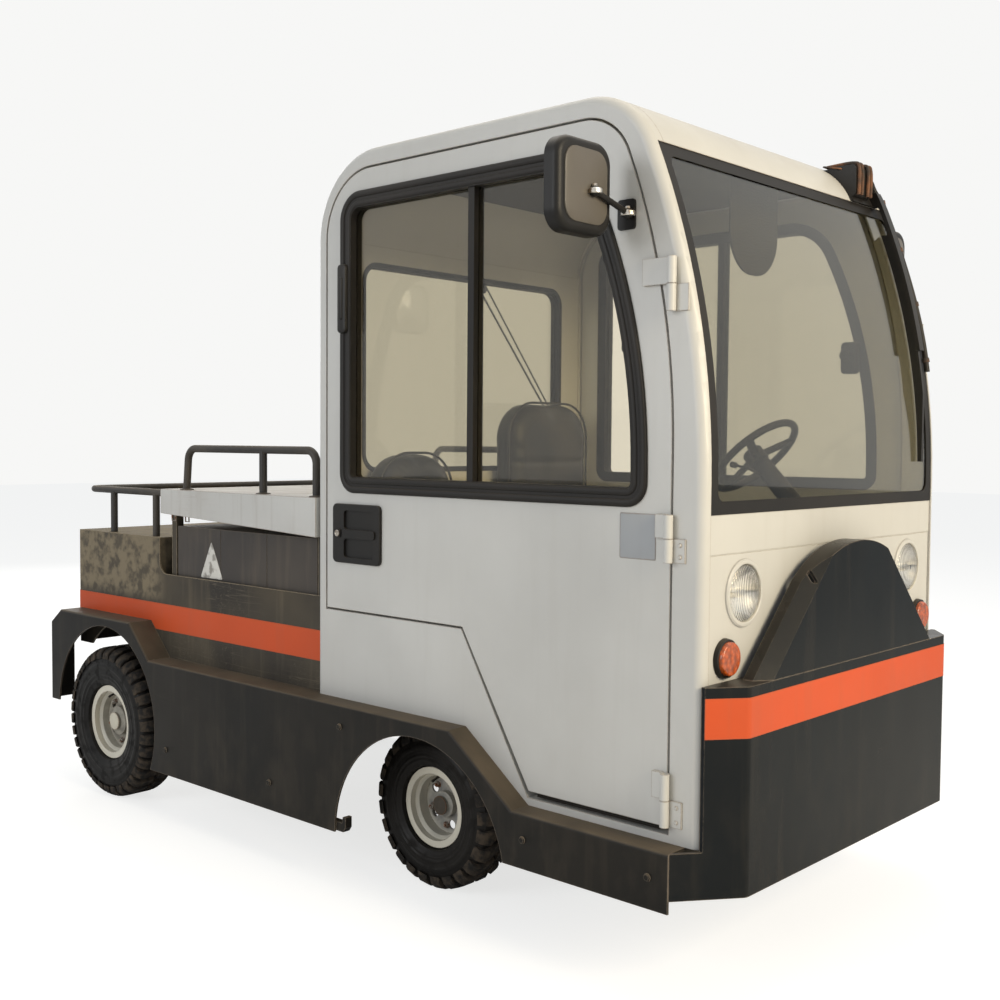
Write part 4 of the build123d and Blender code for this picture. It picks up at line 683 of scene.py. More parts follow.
strip_rear, strip_front = 0.966, 1.338
for side, hand in hands:
    body = f"door_{hand}"
    patch = plate(0.104, 0.108, 0.004, (1.272, -skin_y, 1.07), (1, 0, 0), (0, 0, 1), 0.0012, 0.0004,
        per_corner=2)
    fit_shapes(f"hinge_patch_{hand}", mirrored_side(side, [patch]), primer, body)
    screws = [(hinge_x + 0.027, side * (skin_y + leaf_t + 0.001), low + drop) for low,
        high in hinges[:2] for drop in (0.014, (high - low) / 2 - 0.014)]
    fit(
        f"hinge_screws_{hand}", bolts(f"hinge_screws_{hand}", screws, side_facing[side], cab_grey,
            0.0055, 0.003, 12), "chassis")
    rib_unit = lofted(
        [[(x, side * 0.6058, 0.3905), (x, side * 0.6095, 0.391), (x, side * 0.6095, 0.3922),
                (x, side * 0.6058, 0.393)] for x in (strip_rear, strip_front)])
    strip = laid_out(f"sill_ribs_{hand}", as_mesh("sill rib", [rib_unit], None), row_of_parts,
        black_rubber, Count=3, Step=(0.0, 0.0, 0.004))
    fit(f"sill_ribs_{hand}", strip, body)

# ---------------------------------------------------------------- windows
# Tinted safety glass sits in black rubber profiles with a raised bead along
# both lips. Each door window has a bar between its two panes, a grip block
# at its rear edge and a catch inside at the front.
window = dict(front=1.298, bend_z=1.23, bend_r=1.484, top=1.996, corner_r=0.19, rear=0.206,
    rear_r=0.08, bottom=1.137, foot_r=0.058)
shell = dict(front=1.455, bend_z=1.2, bend_r=2.005, top=2.115, corner_r=0.215, rear=0.095,
    rear_r=0.245, bottom=0.365, foot_r=0.004)


def arc(centre, radius, start, end, steps):
    """Points of an arc between two angles in degrees."""
    return [(centre[0] + radius * math.cos(a), centre[1] + radius * math.sin(a))
        for a in (math.radians(start + (end - start) * i / steps) for i in range(steps + 1))]


def side_outline(front, bend_z, bend_r, top, corner_r, rear, rear_r, bottom, foot_r, inset=0.0):
    """X and Z round an outline of the cab's side, bent front edge first."""
    front, top, rear, bottom = front - inset, top - inset, rear + inset, bottom + inset
    bend_r, corner_r, rear_r, foot_r = (r - inset for r in (bend_r, corner_r, rear_r, foot_r))
    foot_r = max(foot_r, 0.002)
    middle = (front - bend_r, bend_z)
    rise = top - corner_r - bend_z
    run = math.sqrt((bend_r - corner_r) ** 2 - rise ** 2)
    lean = math.degrees(math.atan2(rise, run))
    return arc((front - foot_r, bottom + foot_r), foot_r, -90, 0, 8) + arc(middle, bend_r, 0, lean,
        24) + arc((middle[0] + run, bend_z + rise), corner_r, lean, 90,
        12)[1:] + arc((rear + rear_r, top - rear_r), rear_r, 90, 180,
        12) + arc((rear + foot_r, bottom + foot_r), foot_r, 180, 270, 8)


def bead(outline, middle, half, proud, face_y, steps=8):
    """Half-round bead that follows an outline, standing out from a face."""
    rings = []
    for i in range(steps + 1):
        a = math.pi * i / steps
        rings.append(
            [(x, face_y - proud * math.sin(a), z) for x, z in side_outline(**outline,
                    inset=middle - half * math.cos(a))])
    rings.append([(x, face_y + 0.001, z) for x, z in side_outline(**outline, inset=middle + half)])
    rings.append([(x, face_y + 0.001, z) for x, z in side_outline(**outline, inset=middle - half)])
    return lofted(rings, capped=False, closed=True)


def clear_glass(name, tint, shade, roughness=0.02):
    """Glass that bends sight but lets the lamps straight through."""
    material, tree, shader = new_material(name, roughness)
    shader.inputs["Base Color"].default_value = tint
    shader.inputs["Transmission Weight"].default_value = 1.0
    shader.inputs["IOR"].default_value = 1.45
    path = add_node(tree, "ShaderNodeLightPath")
    passing = add_node(tree, "ShaderNodeBsdfTransparent", {"Color": shade})
    choice = add_node(
        tree, "ShaderNodeMixShader", {0: path.outputs["Is Shadow Ray"], 1: shader.outputs[0],
            2: passing.outputs[0]})
    tree.links.new(choice.outputs[0], tree.nodes["Material Output"].inputs["Surface"])
    return material


door_tint = clear_glass("door glass", (0.90, 0.86, 0.76, 1), (0.85, 0.82, 0.74, 1))
screen_tint = clear_glass("windscreen glass", (0.47, 0.44, 0.34, 1), (0.75, 0.74, 0.66, 1))
dress(screen_tint, "cab_glass")
dress(door_tint, "door_glass_right", "door_glass_left")
dress(black_rubber, "cab_rubber", "door_rubber_right", "door_rubber_left")

moulded, tree, shader = new_material("black moulded plastic", 0.42, shine=0.25)
dirt = use_group(tree, road_dust, Top=0.35, Spray=0.0, Spray_height=0.6, Film=0.10)
two_tone(tree, shader, dirt, (0.0075, 0.0072, 0.007, 1), (0.1, 0.08, 0.055, 1))
bump(tree, shader, cloud(tree, 700.0, 2.0), 0.0004, 0.6)

rubber_face = skin_y + 0.005
for side, hand in hands:
    beads = [bead(window, 0.01, 0.009, 0.0045, -rubber_face),
        bead(window, 0.035, 0.0085, 0.0035, -rubber_face)]
    fit_shapes(f"window_beads_{hand}", mirrored_side(side, beads), black_rubber, f"door_{hand}")
    grip = plate(0.036, 0.196, 0.01, (0.226, -rubber_face, 1.695), (1, 0, 0), (0, 0, 1), 0.015,
        0.005)
    notch = plate(0.014, 0.12, 0.005, (0.226, -rubber_face - 0.0145, 1.695), (1, 0, 0), (0, 0, 1),
        0.004, 0.002)
    catch = plate(0.052, 0.096, 0.012, (1.205, -0.56, 1.55), (-1, 0, 0), (0, 0, 1), 0.024, 0.006)
    knob = lathe(
        [(0.0, 0.01), (0.012, 0.009), (0.016, 0.016), (0.026, 0.016), (0.03, 0.011), (0.03, 0.0)],
        (1.205, -0.537, 1.556), (0, 1, 0), 24)
    fit_shapes(f"window_catches_{hand}", mirrored_side(side, [grip, notch, catch, knob]), moulded,
        f"door_{hand}")

# ---------------------------------------------------------------- door handles and mirrors
# Black flush handles with a key barrel. The mirrors have a moulded rim round a
# grey back and a silvered glass, and swing on bright ball clamps.
dress(moulded, "door_handle_right", "door_handle_left", "mirror_right", "mirror_left")

bright_steel, tree, shader = new_material("bright steel", 0.28, 1.0)
two_tone(tree, shader, ramp(tree, cloud(tree, 60.0, 5.0), 0.45, 0.7), (0.62, 0.6, 0.56, 1),
    (0.3, 0.24, 0.18, 1))
bump(tree, shader, cloud(tree, 320.0, 2.0, (1, 1, 8)), 0.0003, 0.5)

mirror_back, tree, shader = new_material("mirror back plastic", 0.36)
dirt = use_group(tree, road_dust, Top=0.3, Spray=0.0, Spray_height=0.6, Film=0.25)
two_tone(tree, shader, dirt, (0.085, 0.075, 0.062, 1), (0.17, 0.14, 0.1, 1))
bump(tree, shader, cloud(tree, 500.0, 2.0), 0.0005, 0.5)

silvered, tree, shader = new_material("silvered mirror glass", 0.03, 1.0)
two_tone(tree, shader, ramp(tree, cloud(tree, 30.0, 6.0), 0.5, 0.9), (0.82, 0.84, 0.84, 1),
    (0.55, 0.53, 0.48, 1))

handle_face = 0.624
for side, hand in hands:
    body = f"door_{hand}"
    barrel = lathe(
        [(0.0, 0.0095), (0.0045, 0.0095), (0.0055, 0.0085), (0.0055, 0.006), (0.004, 0.0055),
            (0.004, 0.0)], (0.207, -handle_face - 0.003, 1.019), (0, -1, 0), 28)
    slot = slab(lambda e: rounded(0.0018, 0.008, 0.0008, 2), (0.207, -handle_face - 0.0066, 1.019),
        (1, 0, 0), (0, 0, 1), 0.0008, 0.0002)
    fit_shapes(f"key_barrel_{hand}", mirrored_side(side, [barrel, slot]), bright_steel, body)
    back = plate(0.15, 0.166, 0.038, (1.2325, -0.773, 1.86), (0, 1, 0), (0, 0, 1), 0.004, 0.0025)
    fit_shapes(f"mirror_back_{hand}", mirrored_side(side, [back]), mirror_back, body)
    glass = plate(0.176, 0.192, 0.04, (1.1965, -0.773, 1.86), (0, -1, 0), (0, 0, 1), 0.0025, 0.0008)
    fit_shapes(f"mirror_glass_{hand}", mirrored_side(side, [glass]), silvered, body)
    clamps = []
    for y, z in ((-0.628, 1.818), (-0.753, 1.850)):
        clamps.append(
            lathe([(-0.006, 0.0125), (-0.006, 0.016), (-0.004, 0.0175), (0.004, 0.0175),
                    (0.006, 0.016), (0.006, 0.0125)], (1.243, y, z), (0, 0, 1), 36, closed=True))
        clamps.append(
            lathe([(0.0, 0.006), (0.01, 0.006), (0.011, 0.005), (0.011, 0.0)],
                (1.243, y, z + 0.006), (0, 0, 1), 6))
    fit_shapes(f"mirror_clamps_{hand}", mirrored_side(side, clamps), bright_steel, body)

# ---------------------------------------------------------------- front lamps
# Round headlamps: a domed, fluted glass over a bright reflector, held in a
# ring of cab colour. The amber turn signals below sit in black rings.
panel_face = 1.451
lamp_y, lamp_z, lamp_r = 0.438, 0.938, 0.073
signal_y, signal_z, signal_r = 0.518, 0.793, 0.042
lens_glass = clear_glass("headlamp glass", (0.97, 0.96, 0.93, 1), (0.92, 0.92, 0.90, 1), 0.06)
flutes = lens_glass.node_tree
wave = add_node(flutes, "ShaderNodeTexWave", {"Vector": own_place(flutes), "Scale": 46.0},
    bands_direction="Y")
bump(flutes, flutes.nodes["Principled BSDF"], wave.outputs["Fac"], 0.0006, 0.6)

reflector, tree, shader = new_material("lamp reflector", 0.16, 1.0)
two_tone(tree, shader, ramp(tree, cloud(tree, 40.0, 5.0), 0.4, 0.8), (0.9, 0.89, 0.86, 1),
    (0.7, 0.66, 0.58, 1))

lenses, bowls, rings, bezels = [], [], [], []
for y in (-lamp_y, lamp_y):
    dome = [(0.015 * math.cos(a), (lamp_r - 0.004) * math.sin(a))
        for a in (math.radians(90 * i / 14) for i in range(15))]
    inner = [(along - 0.003, radius * 0.985) for along, radius in reversed(dome)]
    lenses.append(lathe(dome + inner, (panel_face, y, lamp_z), (1, 0, 0), 72, closed=True))
    bowl = [(-0.028 + 0.029 * (i / 12) ** 2, 0.012 + (lamp_r - 0.019) * i / 12) for i in range(13)]
    bowls.append(
        lathe(bowl + [(along - 0.002, radius + 0.001) for along, radius in reversed(bowl)],
            (panel_face, y, lamp_z), (1, 0, 0), 64, closed=True))
    bowls.append(
        lathe([(-0.028, 0.0), (-0.028, 0.013), (-0.02, 0.014), (-0.012, 0.012), (-0.006, 0.008),
                (-0.004, 0.0)], (panel_face, y, lamp_z), (1, 0, 0), 32))
    rings.append(
        lathe([(-0.002, lamp_r - 0.004), (0.006, lamp_r - 0.0045), (0.0075, lamp_r - 0.002),
                (0.007, lamp_r + 0.004), (0.004, lamp_r + 0.0075), (-0.002, lamp_r + 0.008)],
            (panel_face, y, lamp_z), (1, 0, 0), 72, closed=True))
for y in (-signal_y, signal_y):
    bezels.append(
        lathe([(0.0, signal_r - 0.001), (0.011, signal_r - 0.003), (0.0125, signal_r - 0.001),
                (0.011, signal_r + 0.003), (0.0, signal_r + 0.005)], (panel_face, y, signal_z),
            (1, 0, 0), 56, closed=True))
fit_shapes("headlamp_lenses", lenses, lens_glass, "chassis")
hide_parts("headlamps")
fit_shapes("headlamp_bowls", bowls, reflector, "chassis")
fit_shapes("headlamp_rings", rings, cab_grey, "chassis")
fit_shapes("signal_rings", bezels, moulded, "chassis")


def lamp_plastic(name, colour):
    """Clear plastic with small facets moulded in its back, darker at facet edges as painted shade.
    """
    material, tree, shader = new_material(name, 0.2)
    facets = add_node(tree, "ShaderNodeTexVoronoi", {"Vector": own_place(tree), "Scale": 95.0})
    # Colour darkens towards each facet's edge: painted shade between the facets.
    two_tone(tree, shader, facets.outputs["Distance"], colour,
        tuple(c * 0.3 for c in colour[:3]) + (1,))
    bump(tree, shader, facets.outputs["Distance"], 0.0015, 0.7)
    shader.inputs["Coat Weight"].default_value = 0.6
    return material


dress(lamp_plastic("amber plastic", (0.60, 0.105, 0.012, 1)), "turn_signals")
dress(lamp_plastic("red plastic", (0.32, 0.014, 0.010, 1)), "tail_lamps")

# ---------------------------------------------------------------- windscreen wiper
# The motor sits in a rusted bracket at the roof's left front corner, and a
# black hose with clips runs from it down the pillar. A second thin wiper
# hangs across the rear window.
dress(moulded, "wipers")
front_edge = [(x, z) for x, z in side_outline(**shell, inset=-0.010) if x > 1.0 and z > 1.1]
front_edge.sort(key=lambda point: -point[1])
hose_run = [(x, 0.566 + 0.007 * math.sin(9.0 * z), z) for x, z in front_edge if 1.50 < z < 2.06]
hose = [
    pipe(smooth_path([(1.235, 0.47, 2.092), (1.262, 0.53, 2.082)] + hose_run[::2], 4), 0.008, 12)]
fit_shapes("wiper_hose", hose, black_rubber, "chassis")
clip_shapes = []
for x, y, z in hose_run[2::5]:
    clip_shapes.append(
        lathe([(-0.006, 0.008), (-0.006, 0.0105), (0.006, 0.0105), (0.006, 0.008)], (x, y, z),
            (-0.25, 0, 1), 20, closed=True))
motor_plate = plate(0.11, 0.06, 0.01, (1.235, 0.41, 2.086), (0, 1, 0), (-1, 0, 0.22), 0.004, 0.0015)
motor_can = lathe(
    [(0.0, 0.0), (0.0, 0.026), (0.004, 0.028), (0.052, 0.028), (0.058, 0.024), (0.058, 0.0)],
    (1.262, 0.372, 2.06), (0, 1, 0), 32)
straps = [
    pipe(smooth_path([(1.214, y, 2.093), (1.296, y, 2.095), (1.314, y, 2.078), (1.314, y, 2.004)],
            6), 0.0055, 10) for y in (0.374, 0.392, 0.428, 0.446)]
fit_shapes("wiper_bracket", clip_shapes + straps + [motor_plate, motor_can], rusted, "chassis")

rear_pane_x = 0.1085
arm_top, arm_end = Vector((rear_pane_x, 0.085, 1.800)), Vector((rear_pane_x, 0.425, 1.395))
down = (arm_end - arm_top).normalized()
apart = Vector((0, down.z, -down.y)) * 0.016
rear_wiper = [pipe([arm_top + apart, arm_end + apart * 0.2], 0.0035, 8),
    pipe([arm_top - apart, arm_end - apart], 0.003, 8), lathe([(-0.003, 0.0), (-0.003, 0.016),
            (0.003, 0.016), (0.004, 0.012), (0.004, 0.0)], arm_top, (1, 0, 0), 24),
    pipe([arm_end + Vector((0, -0.12, -0.13)) * 0.3, arm_end + Vector((0, 0.12, 0.13)) * 0.3],
        0.004, 8)]
fit_shapes("rear_wiper", rear_wiper, moulded, "chassis")

# ---------------------------------------------------------------- cab interior
# A grey felt roof lining, a ribbed rubber floor mat, two pedals, a hand brake,
# and a dash with two dials and a row of rocker switches.
felt, tree, shader = new_material("roof felt", 0.95)
two_tone(tree, shader, cloud(tree, 240.0, 6.0), (0.035, 0.033, 0.03, 1), (0.075, 0.07, 0.062, 1))
bump(tree, shader, cloud(tree, 420.0, 4.0), 0.0012, 0.8)
dress(moulded, "dash", "steering_wheel")

visor_mesh, tree, shader = new_material("visor net", 0.6)
holes = add_node(tree, "ShaderNodeTexVoronoi", {"Vector": own_place(tree), "Scale": 170.0})
two_tone(tree, shader, holes.outputs["Distance"], (0.006, 0.006, 0.006, 1), (0.055, 0.05, 0.042, 1))
bump(tree, shader, holes.outputs["Distance"], 0.0010, 0.8)
dress(visor_mesh, "sun_visor")

lining = plate(0.86, 1.08, 0.06, (0.64, 0.0, 2.066), (1, 0, 0), (0, -1, 0), 0.012, 0.006)
fit_shapes("roof_lining", [lining], felt, "chassis")

floor_top = 0.373
mat_base = plate(0.59, 1.08, 0.03, (1.09, 0.0, floor_top), (1, 0, 0), (0, 1, 0), 0.004, 0.0015)
mat_rib = lofted(
    [[(0.806, y, floor_top + 0.0038), (0.808, y, floor_top + 0.0062),
            (0.812, y, floor_top + 0.0062), (0.814, y, floor_top + 0.0038)]
        for y in (-0.525, 0.525)])
mat_ribs = laid_out("mat ribs", as_mesh("mat rib", [mat_rib], None), row_of_parts, black_rubber,
    Count=38, Step=(0.015, 0.0, 0.0))
fit("floor_mat", join("floor_mat", as_mesh("mat base", [mat_base], black_rubber), mat_ribs),
    "chassis")

dial_face, tree, shader = new_material("dial face", 0.35)
two_tone(tree, shader, ramp(tree, cloud(tree, 80.0, 3.0), 0.4, 0.7), (0.6, 0.58, 0.52, 1),
    (0.48, 0.45, 0.38, 1))
slope = Vector((-1, 0, 1)).normalized()
dial_rims, dial_plates, needles = [], [], []
for y in (0.170, 0.105):
    seat_point = Vector((1.141, y, 1.070))
    dial_rims.append(
        lathe([(0.0, 0.02), (0.01, 0.02), (0.01, 0.023), (0.008, 0.025), (0.0, 0.025)], seat_point,
            slope, 40, closed=True))
    dial_plates.append(
        lathe([(0.0, 0.0), (0.0, 0.0205), (0.004, 0.0205), (0.004, 0.0)], seat_point, slope, 40))
    swing = Vector((0, 0.6, 0)) + Vector((1, 0, 1)).normalized() * 0.8
    needles.append(
        pipe([seat_point + slope * 0.006, seat_point + slope * 0.006 + swing * 0.015], 0.0009, 6))
for i in range(9):
    for seat_y in (0.170, 0.105):
        a = math.radians(-30 + 30 * i)
        out_to = Vector((0, math.cos(a), 0)) + Vector((1, 0, 1)).normalized() * math.sin(a)
        middle = Vector((1.141, seat_y, 1.070)) + slope * 0.0045
        needles.append(pipe([middle + out_to * 0.0145, middle + out_to * 0.018], 0.0006, 4))
fit_shapes("dial_rims", dial_rims + needles, moulded, "chassis")
fit_shapes("dial_plates", dial_plates, dial_face, "chassis")

rocker = plate(0.022, 0.036, 0.003, (1.141, -0.3, 1.07), (0, -1, 0), (0.7071, 0, 0.7071), 0.008,
    0.002, per_corner=3)
fit(
    "rocker_switches", laid_out("rocker_switches", as_mesh("rocker", [rocker], None), row_of_parts,
        moulded, Count=5, Step=(0.0, 0.045, 0.0)), "chassis")

controls = []
for y, wide in ((0.395, 0.062), (0.255, 0.085)):
    controls.append(
        pipe(smooth_path([(1.3, y, 0.86), (1.27, y, 0.64), (1.205, y, 0.5)]), 0.008, 10))
    controls.append(
        plate(wide, 0.08, 0.01, (1.205, y, 0.495), (0, -1, 0), (0.55, 0, 0.835), 0.01, 0.004))
controls.append(
    pipe(smooth_path([(0.85, 0.0, floor_top), (0.84, 0.0, 0.52), (0.79, 0.0, 0.7)]), 0.01, 12))
controls.append(
    lathe([(0.0, 0.0), (0.0, 0.012), (0.006, 0.017), (0.08, 0.019), (0.104, 0.017), (0.112, 0.01),
            (0.113, 0.0)], (0.795, 0.0, 0.69), (-0.25, 0, 1), 24))
controls.append(
    pipe(smooth_path([(1.062, 0.285, 1.195), (1.055, 0.22, 1.215), (1.045, 0.165, 1.225)]), 0.004,
        10))
controls.append(
    lathe([(0.0, 0.0), (0.0, 0.006), (0.004, 0.009), (0.022, 0.009), (0.026, 0.006), (0.026, 0.0)],
        (1.046, 0.17, 1.224), (0, -1, 0.15), 16))
fit_shapes("hand_and_foot_controls", controls, moulded, "chassis")

hub_place = Vector((1.025, 0.310, 1.250))
hub_along = Vector((-math.sin(math.radians(44)), 0, math.cos(math.radians(44))))
hub_cap = [
    lathe([(0.0135, 0.0), (0.0135, 0.031), (0.016, 0.031), (0.0205, 0.027), (0.0215, 0.02),
            (0.0195, 0.018), (0.0195, 0.013), (0.022, 0.011), (0.0225, 0.0)], hub_place, hub_along,
        48)]
fit_shapes("horn_button", hub_cap, moulded, "steering_wheel")

# ---------------------------------------------------------------- seats
# Two foam seats in worn black vinyl stand on the seat box. Each cushion and
# back has two sewn channels and a welt round its edge.
vinyl, tree, shader = new_material("seat vinyl", 0.4, shine=0.3)
grain = add_node(tree, "ShaderNodeTexVoronoi", {"Vector": own_place(tree), "Scale": 900.0})
rubbed = ramp(tree, cloud(tree, 5.0, 6.0), 0.42, 0.7)
two_tone(tree, shader, rubbed, (0.016, 0.0152, 0.0145, 1), (0.042, 0.037, 0.031, 1))
tree.links.new(ramp(tree, cloud(tree, 9.0, 6.0), 0.3, 0.7, 0.30, 0.50), shader.inputs["Roughness"])
bump(tree, shader, grain.outputs["Distance"], 0.0003, 0.4)


def swell(mesh, cap, low, high):
    """Blow a closed mesh up like foam under a cover, and hold it in its box."""
    work = bpy.data.objects.new("pad blank", mesh)
    bpy.context.scene.collection.objects.link(work)
    remesh = work.modifiers.new("even", "REMESH")
    remesh.mode = "VOXEL"
    remesh.voxel_size = 0.009
    even = bpy.data.meshes.new_from_object(
        work.evaluated_get(bpy.context.evaluated_depsgraph_get()))
    work.modifiers.clear()
    work.data = even
    start = [vertex.co.copy() for vertex in even.vertices]
    cloth = work.modifiers.new("cover", "CLOTH")
    cloth.settings.use_pressure = True
    cloth.settings.uniform_pressure_force = 4.0
    cloth.settings.effector_weights.gravity = 0.0
    cloth.settings.quality = 4
    cloth.point_cache.frame_end = 20
    for step in range(1, 21):
        bpy.context.scene.frame_set(step)
    blown = bpy.data.meshes.new_from_object(
        work.evaluated_get(bpy.context.evaluated_depsgraph_get()))
    work.modifiers.clear()
    work.data = blown
    bpy.context.scene.frame_set(1)
    for vertex, before in zip(work.data.vertices, start):
        moved = vertex.co - before
        if moved.length > cap:
            moved *= cap / moved.length
        place = before + moved
        vertex.co = [min(max(place[i], low[i]), high[i]) for i in range(3)]
    done = work.data
    bpy.data.objects.remove(work)
    return done


def sew(mesh, lines, axis, reach, depth, width):
    """Draw a pad's face in along sewn lines: axis is across the lines, reach is outwards."""
    for vertex in mesh.vertices:
        pull = sum(math.exp(-((vertex.co[axis] - line) / width) ** 2) for line in lines)
        facing = vertex.normal[reach]
        if facing > 0.2:
            vertex.co[reach] -= depth * pull * facing


def smooth_pad(name, mesh, slot_material):
    """Turn a finished pad blank into smooth vinyl with one subdivision."""
    mesh.materials.clear()
    mesh.materials.append(slot_material)
    for face in mesh.polygons:
        face.use_smooth = True
    work = bpy.data.objects.new(name, mesh)
    bpy.context.scene.collection.objects.link(work)
    soft = work.modifiers.new("soft", "SUBSURF")
    soft.levels = soft.render_levels = 1
    done = bpy.data.meshes.new_from_object(
        work.evaluated_get(bpy.context.evaluated_depsgraph_get()))
    bpy.data.objects.remove(work)
    done.name = name
    return done


def welt(place, width, height, radius, thick=0.004):
    """Piping cord round a rounded rectangle: place turns its x and y into a point."""
    rings = []
    for k in range(8):
        a = 2 * math.pi * k / 8
        loop = rounded(width + 2 * thick * math.cos(a), height + 2 * thick * math.cos(a),
            radius + thick * math.cos(a), 10)
        rings.append([place(x, y, thick * math.sin(a)) for x, y in loop])
    return lofted(rings, capped=False, closed=True)


cushion_low, cushion_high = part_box("seat_cushions")
back_low, back_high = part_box("seat_backs")
seat_base = cushion_low.z
cushion_x = (cushion_low.x + cushion_high.x) / 2
cushion_deep = cushion_high.x - cushion_low.x
seats = [("driver", 0.300, 0.470, 0.430, 1.431), ("mate", -0.325, 0.440, 0.330, 1.262)]
for who, seat_y, cushion_wide, back_wide, back_top in seats:
    layers = [(0.014, 0.0), (0.0, 0.012), (-0.001, 0.06), (0.004, 0.088), (0.02, 0.104),
        (0.06, 0.11)]
    blank = [
        [(cushion_x + x, seat_y + y, seat_base + up) for x,
            y in rounded(cushion_deep - 0.016 - 2 * e, cushion_wide - 0.016 - 2 * e,
                0.062 - min(e, 0.03), 8)] for e, up in layers]
    low = (cushion_low.x, seat_y - cushion_wide / 2, seat_base)
    high = (cushion_high.x, seat_y + cushion_wide / 2, cushion_high.z)
    pad = swell(as_mesh(f"{who} cushion blank", [lofted(blank)], vinyl), 0.010, low, high)
    sew(pad, (seat_y - cushion_wide / 5, seat_y + cushion_wide / 5), 1, 2, 0.007, 0.008)
    cushion = fit(f"{who}_seat_cushion", smooth_pad(f"{who}_seat_cushion", pad, vinyl), "chassis")
    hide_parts("seat_cushions")
    tall = back_top - 0.030 - seat_base
    centre_z = seat_base + 0.030 + tall / 2
    layers = [(0.016, 0.0), (0.0, 0.014), (-0.001, 0.052), (0.006, 0.074), (0.024, 0.088),
        (0.06, 0.092)]
    blank = [
        [(back_low.x + ahead, seat_y + y, centre_z + z) for y,
            z in rounded(back_wide - 0.014 - 2 * e, tall - 0.014 - 2 * e, 0.125 - min(e, 0.03), 8)]
        for e, ahead in layers]
    low = (back_low.x, seat_y - back_wide / 2, seat_base)
    high = (back_high.x, seat_y + back_wide / 2, back_top)
    pad = swell(as_mesh(f"{who} back blank", [lofted(blank)], vinyl), 0.010, low, high)
    sew(pad, (centre_z - tall / 6, centre_z + tall / 6), 2, 0, 0.007, 0.008)
    back = fit(f"{who}_seat_back", smooth_pad(f"{who}_seat_back", pad, vinyl), "chassis")
    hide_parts("seat_backs")
    welts = [
        welt(lambda x, y, up: (cushion_x + x, seat_y + y, seat_base + 0.09 + up),
            cushion_deep - 0.016, cushion_wide - 0.016, 0.06),
        welt(lambda x, y, up: (back_low.x + 0.074 + up, seat_y + x, centre_z + y), back_wide - 0.02,
            tall - 0.02, 0.12)]
    fit_shapes(f"{who}_seat_welts", welts, vinyl, "chassis")

# ---------------------------------------------------------------- battery cover and rails
# Black tube rails stand on the hinged cover and run round the rear deck. Two
# small over-centre catches hang under the cover's rear lip on each side.
rail_black = painted_plate("rail paint", (0.016, 0.0145, 0.013, 1), (0.16, 0.12, 0.085, 1),
    edge=0.25, spray=0.0, top=0.45, film=0.25, scratched=0.4, gloss=0.42, streaks=0.1, shine=0.4)
dress(rail_black, "cover_rails", "deck_rail")

cover_low, cover_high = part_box("battery_cover")
catch_shapes = []
for side in (-1, 1):
    for x in (cover_low.x + 0.070, cover_low.x + 0.150):
        lip = cover_high.z - 0.086
        hook = [
            pipe([(x - 0.01, side * 0.607, lip + 0.012), (x - 0.01, side * 0.606, lip - 0.02),
                    (x + 0.01, side * 0.606, lip - 0.02), (x + 0.01, side * 0.607, lip + 0.012)],
                0.0028, 8)]
        catch_shapes += hook
        catch_shapes.append(
            plate(0.03, 0.022, 0.004, (x, side * 0.6085, lip + 0.014), (1, 0, 0),
                (0, 0, 1) if side < 0 else (0, 0, -1), 0.0042, 0.001, per_corner=3))
fit_shapes("cover_catches", catch_shapes, bolt_steel, "cover")

feet = []
for x in (0.058, cover_low.x + 0.118, -0.207):
    for side in (-1, 1):
        feet.append(
            lathe([(0.0, 0.0), (0.0, 0.024), (0.003, 0.023), (0.005, 0.015), (0.005, 0.0)],
                (x, side * 0.585, cover_high.z), (0, 0, 1), 28))
fit_shapes("rail_feet", feet, rail_black, "cover")

# ---------------------------------------------------------------- tail lamps
# Square red lamps in black rubber frames, each with two lens screws.
tail_low, tail_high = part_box("tail_lamps")
frames = []
for side in (-1, 1):
    middle = (tail_low.x + 0.018, side * (tail_high.y - 0.055), (tail_low.z + tail_high.z) / 2)
    outer, inner = rounded(0.122, 0.102, 0.016), rounded(0.1102, 0.0902, 0.0121)
    rings = [[(middle[0] + level, middle[1] + y, middle[2] + z) for y, z in outline] for outline,
        level in ((outer, 0.013), (outer, 0.0), (inner, -0.002), (inner, 0.013))]
    frames.append(lofted(rings, capped=False, closed=True))
fit_shapes("tail_lamp_frames", frames, black_rubber, "chassis")
lens_screws = [
    (tail_low.x - 0.0005, side * (tail_high.y - 0.055 + across), (tail_low.z + tail_high.z) / 2)
    for side in (-1, 1) for across in (-0.042, 0.042)]
fit(
    "tail_lamp_screws", bolts("tail_lamp_screws", lens_screws, rear_facing, bright_steel, 0.0045,
        0.002, 12), "chassis")

# ---------------------------------------------------------------- rims
# Pressed steel rims, cream all over. The dish inside each flange is painted darker:
# blue-grey painted shade on the front rims, dust from the brakes on the rear.
# Hexagon nuts hold them on, and a domed cap closes the hub.
# Mask of each rim's dish inside the flange: painted shade on the front rims, dust from the brakes
# on the rear.
flange, ends, out = new_group(
    "dish shade and brake dust", [("Middle X", "Float", 0.0), ("Middle Z", "Float", 0.0), ("Reach", "Float", 0.1)],
    [("Mask", "Float")])
spot = add_node(flange, "ShaderNodeSeparateXYZ", {0: own_place(flange)})
off_x = maths(flange, "SUBTRACT", spot.outputs["X"], ends.outputs["Middle X"])
off_z = maths(flange, "SUBTRACT", spot.outputs["Z"], ends.outputs["Middle Z"])
far = maths(
    flange, "SQRT", maths(flange, "ADD", maths(flange, "MULTIPLY", off_x, off_x),
        maths(flange, "MULTIPLY", off_z, off_z)))
inside = ramp(flange, maths(flange, "DIVIDE", far, ends.outputs["Reach"]), 0.62, 1.02, 1.0, 0.0)
flange.links.new(
    maths(flange, "MULTIPLY", inside, ramp(flange, cloud(flange, 26.0, 7.0), 0.2, 0.7, 0.55, 1.0)),
    out.inputs["Mask"])

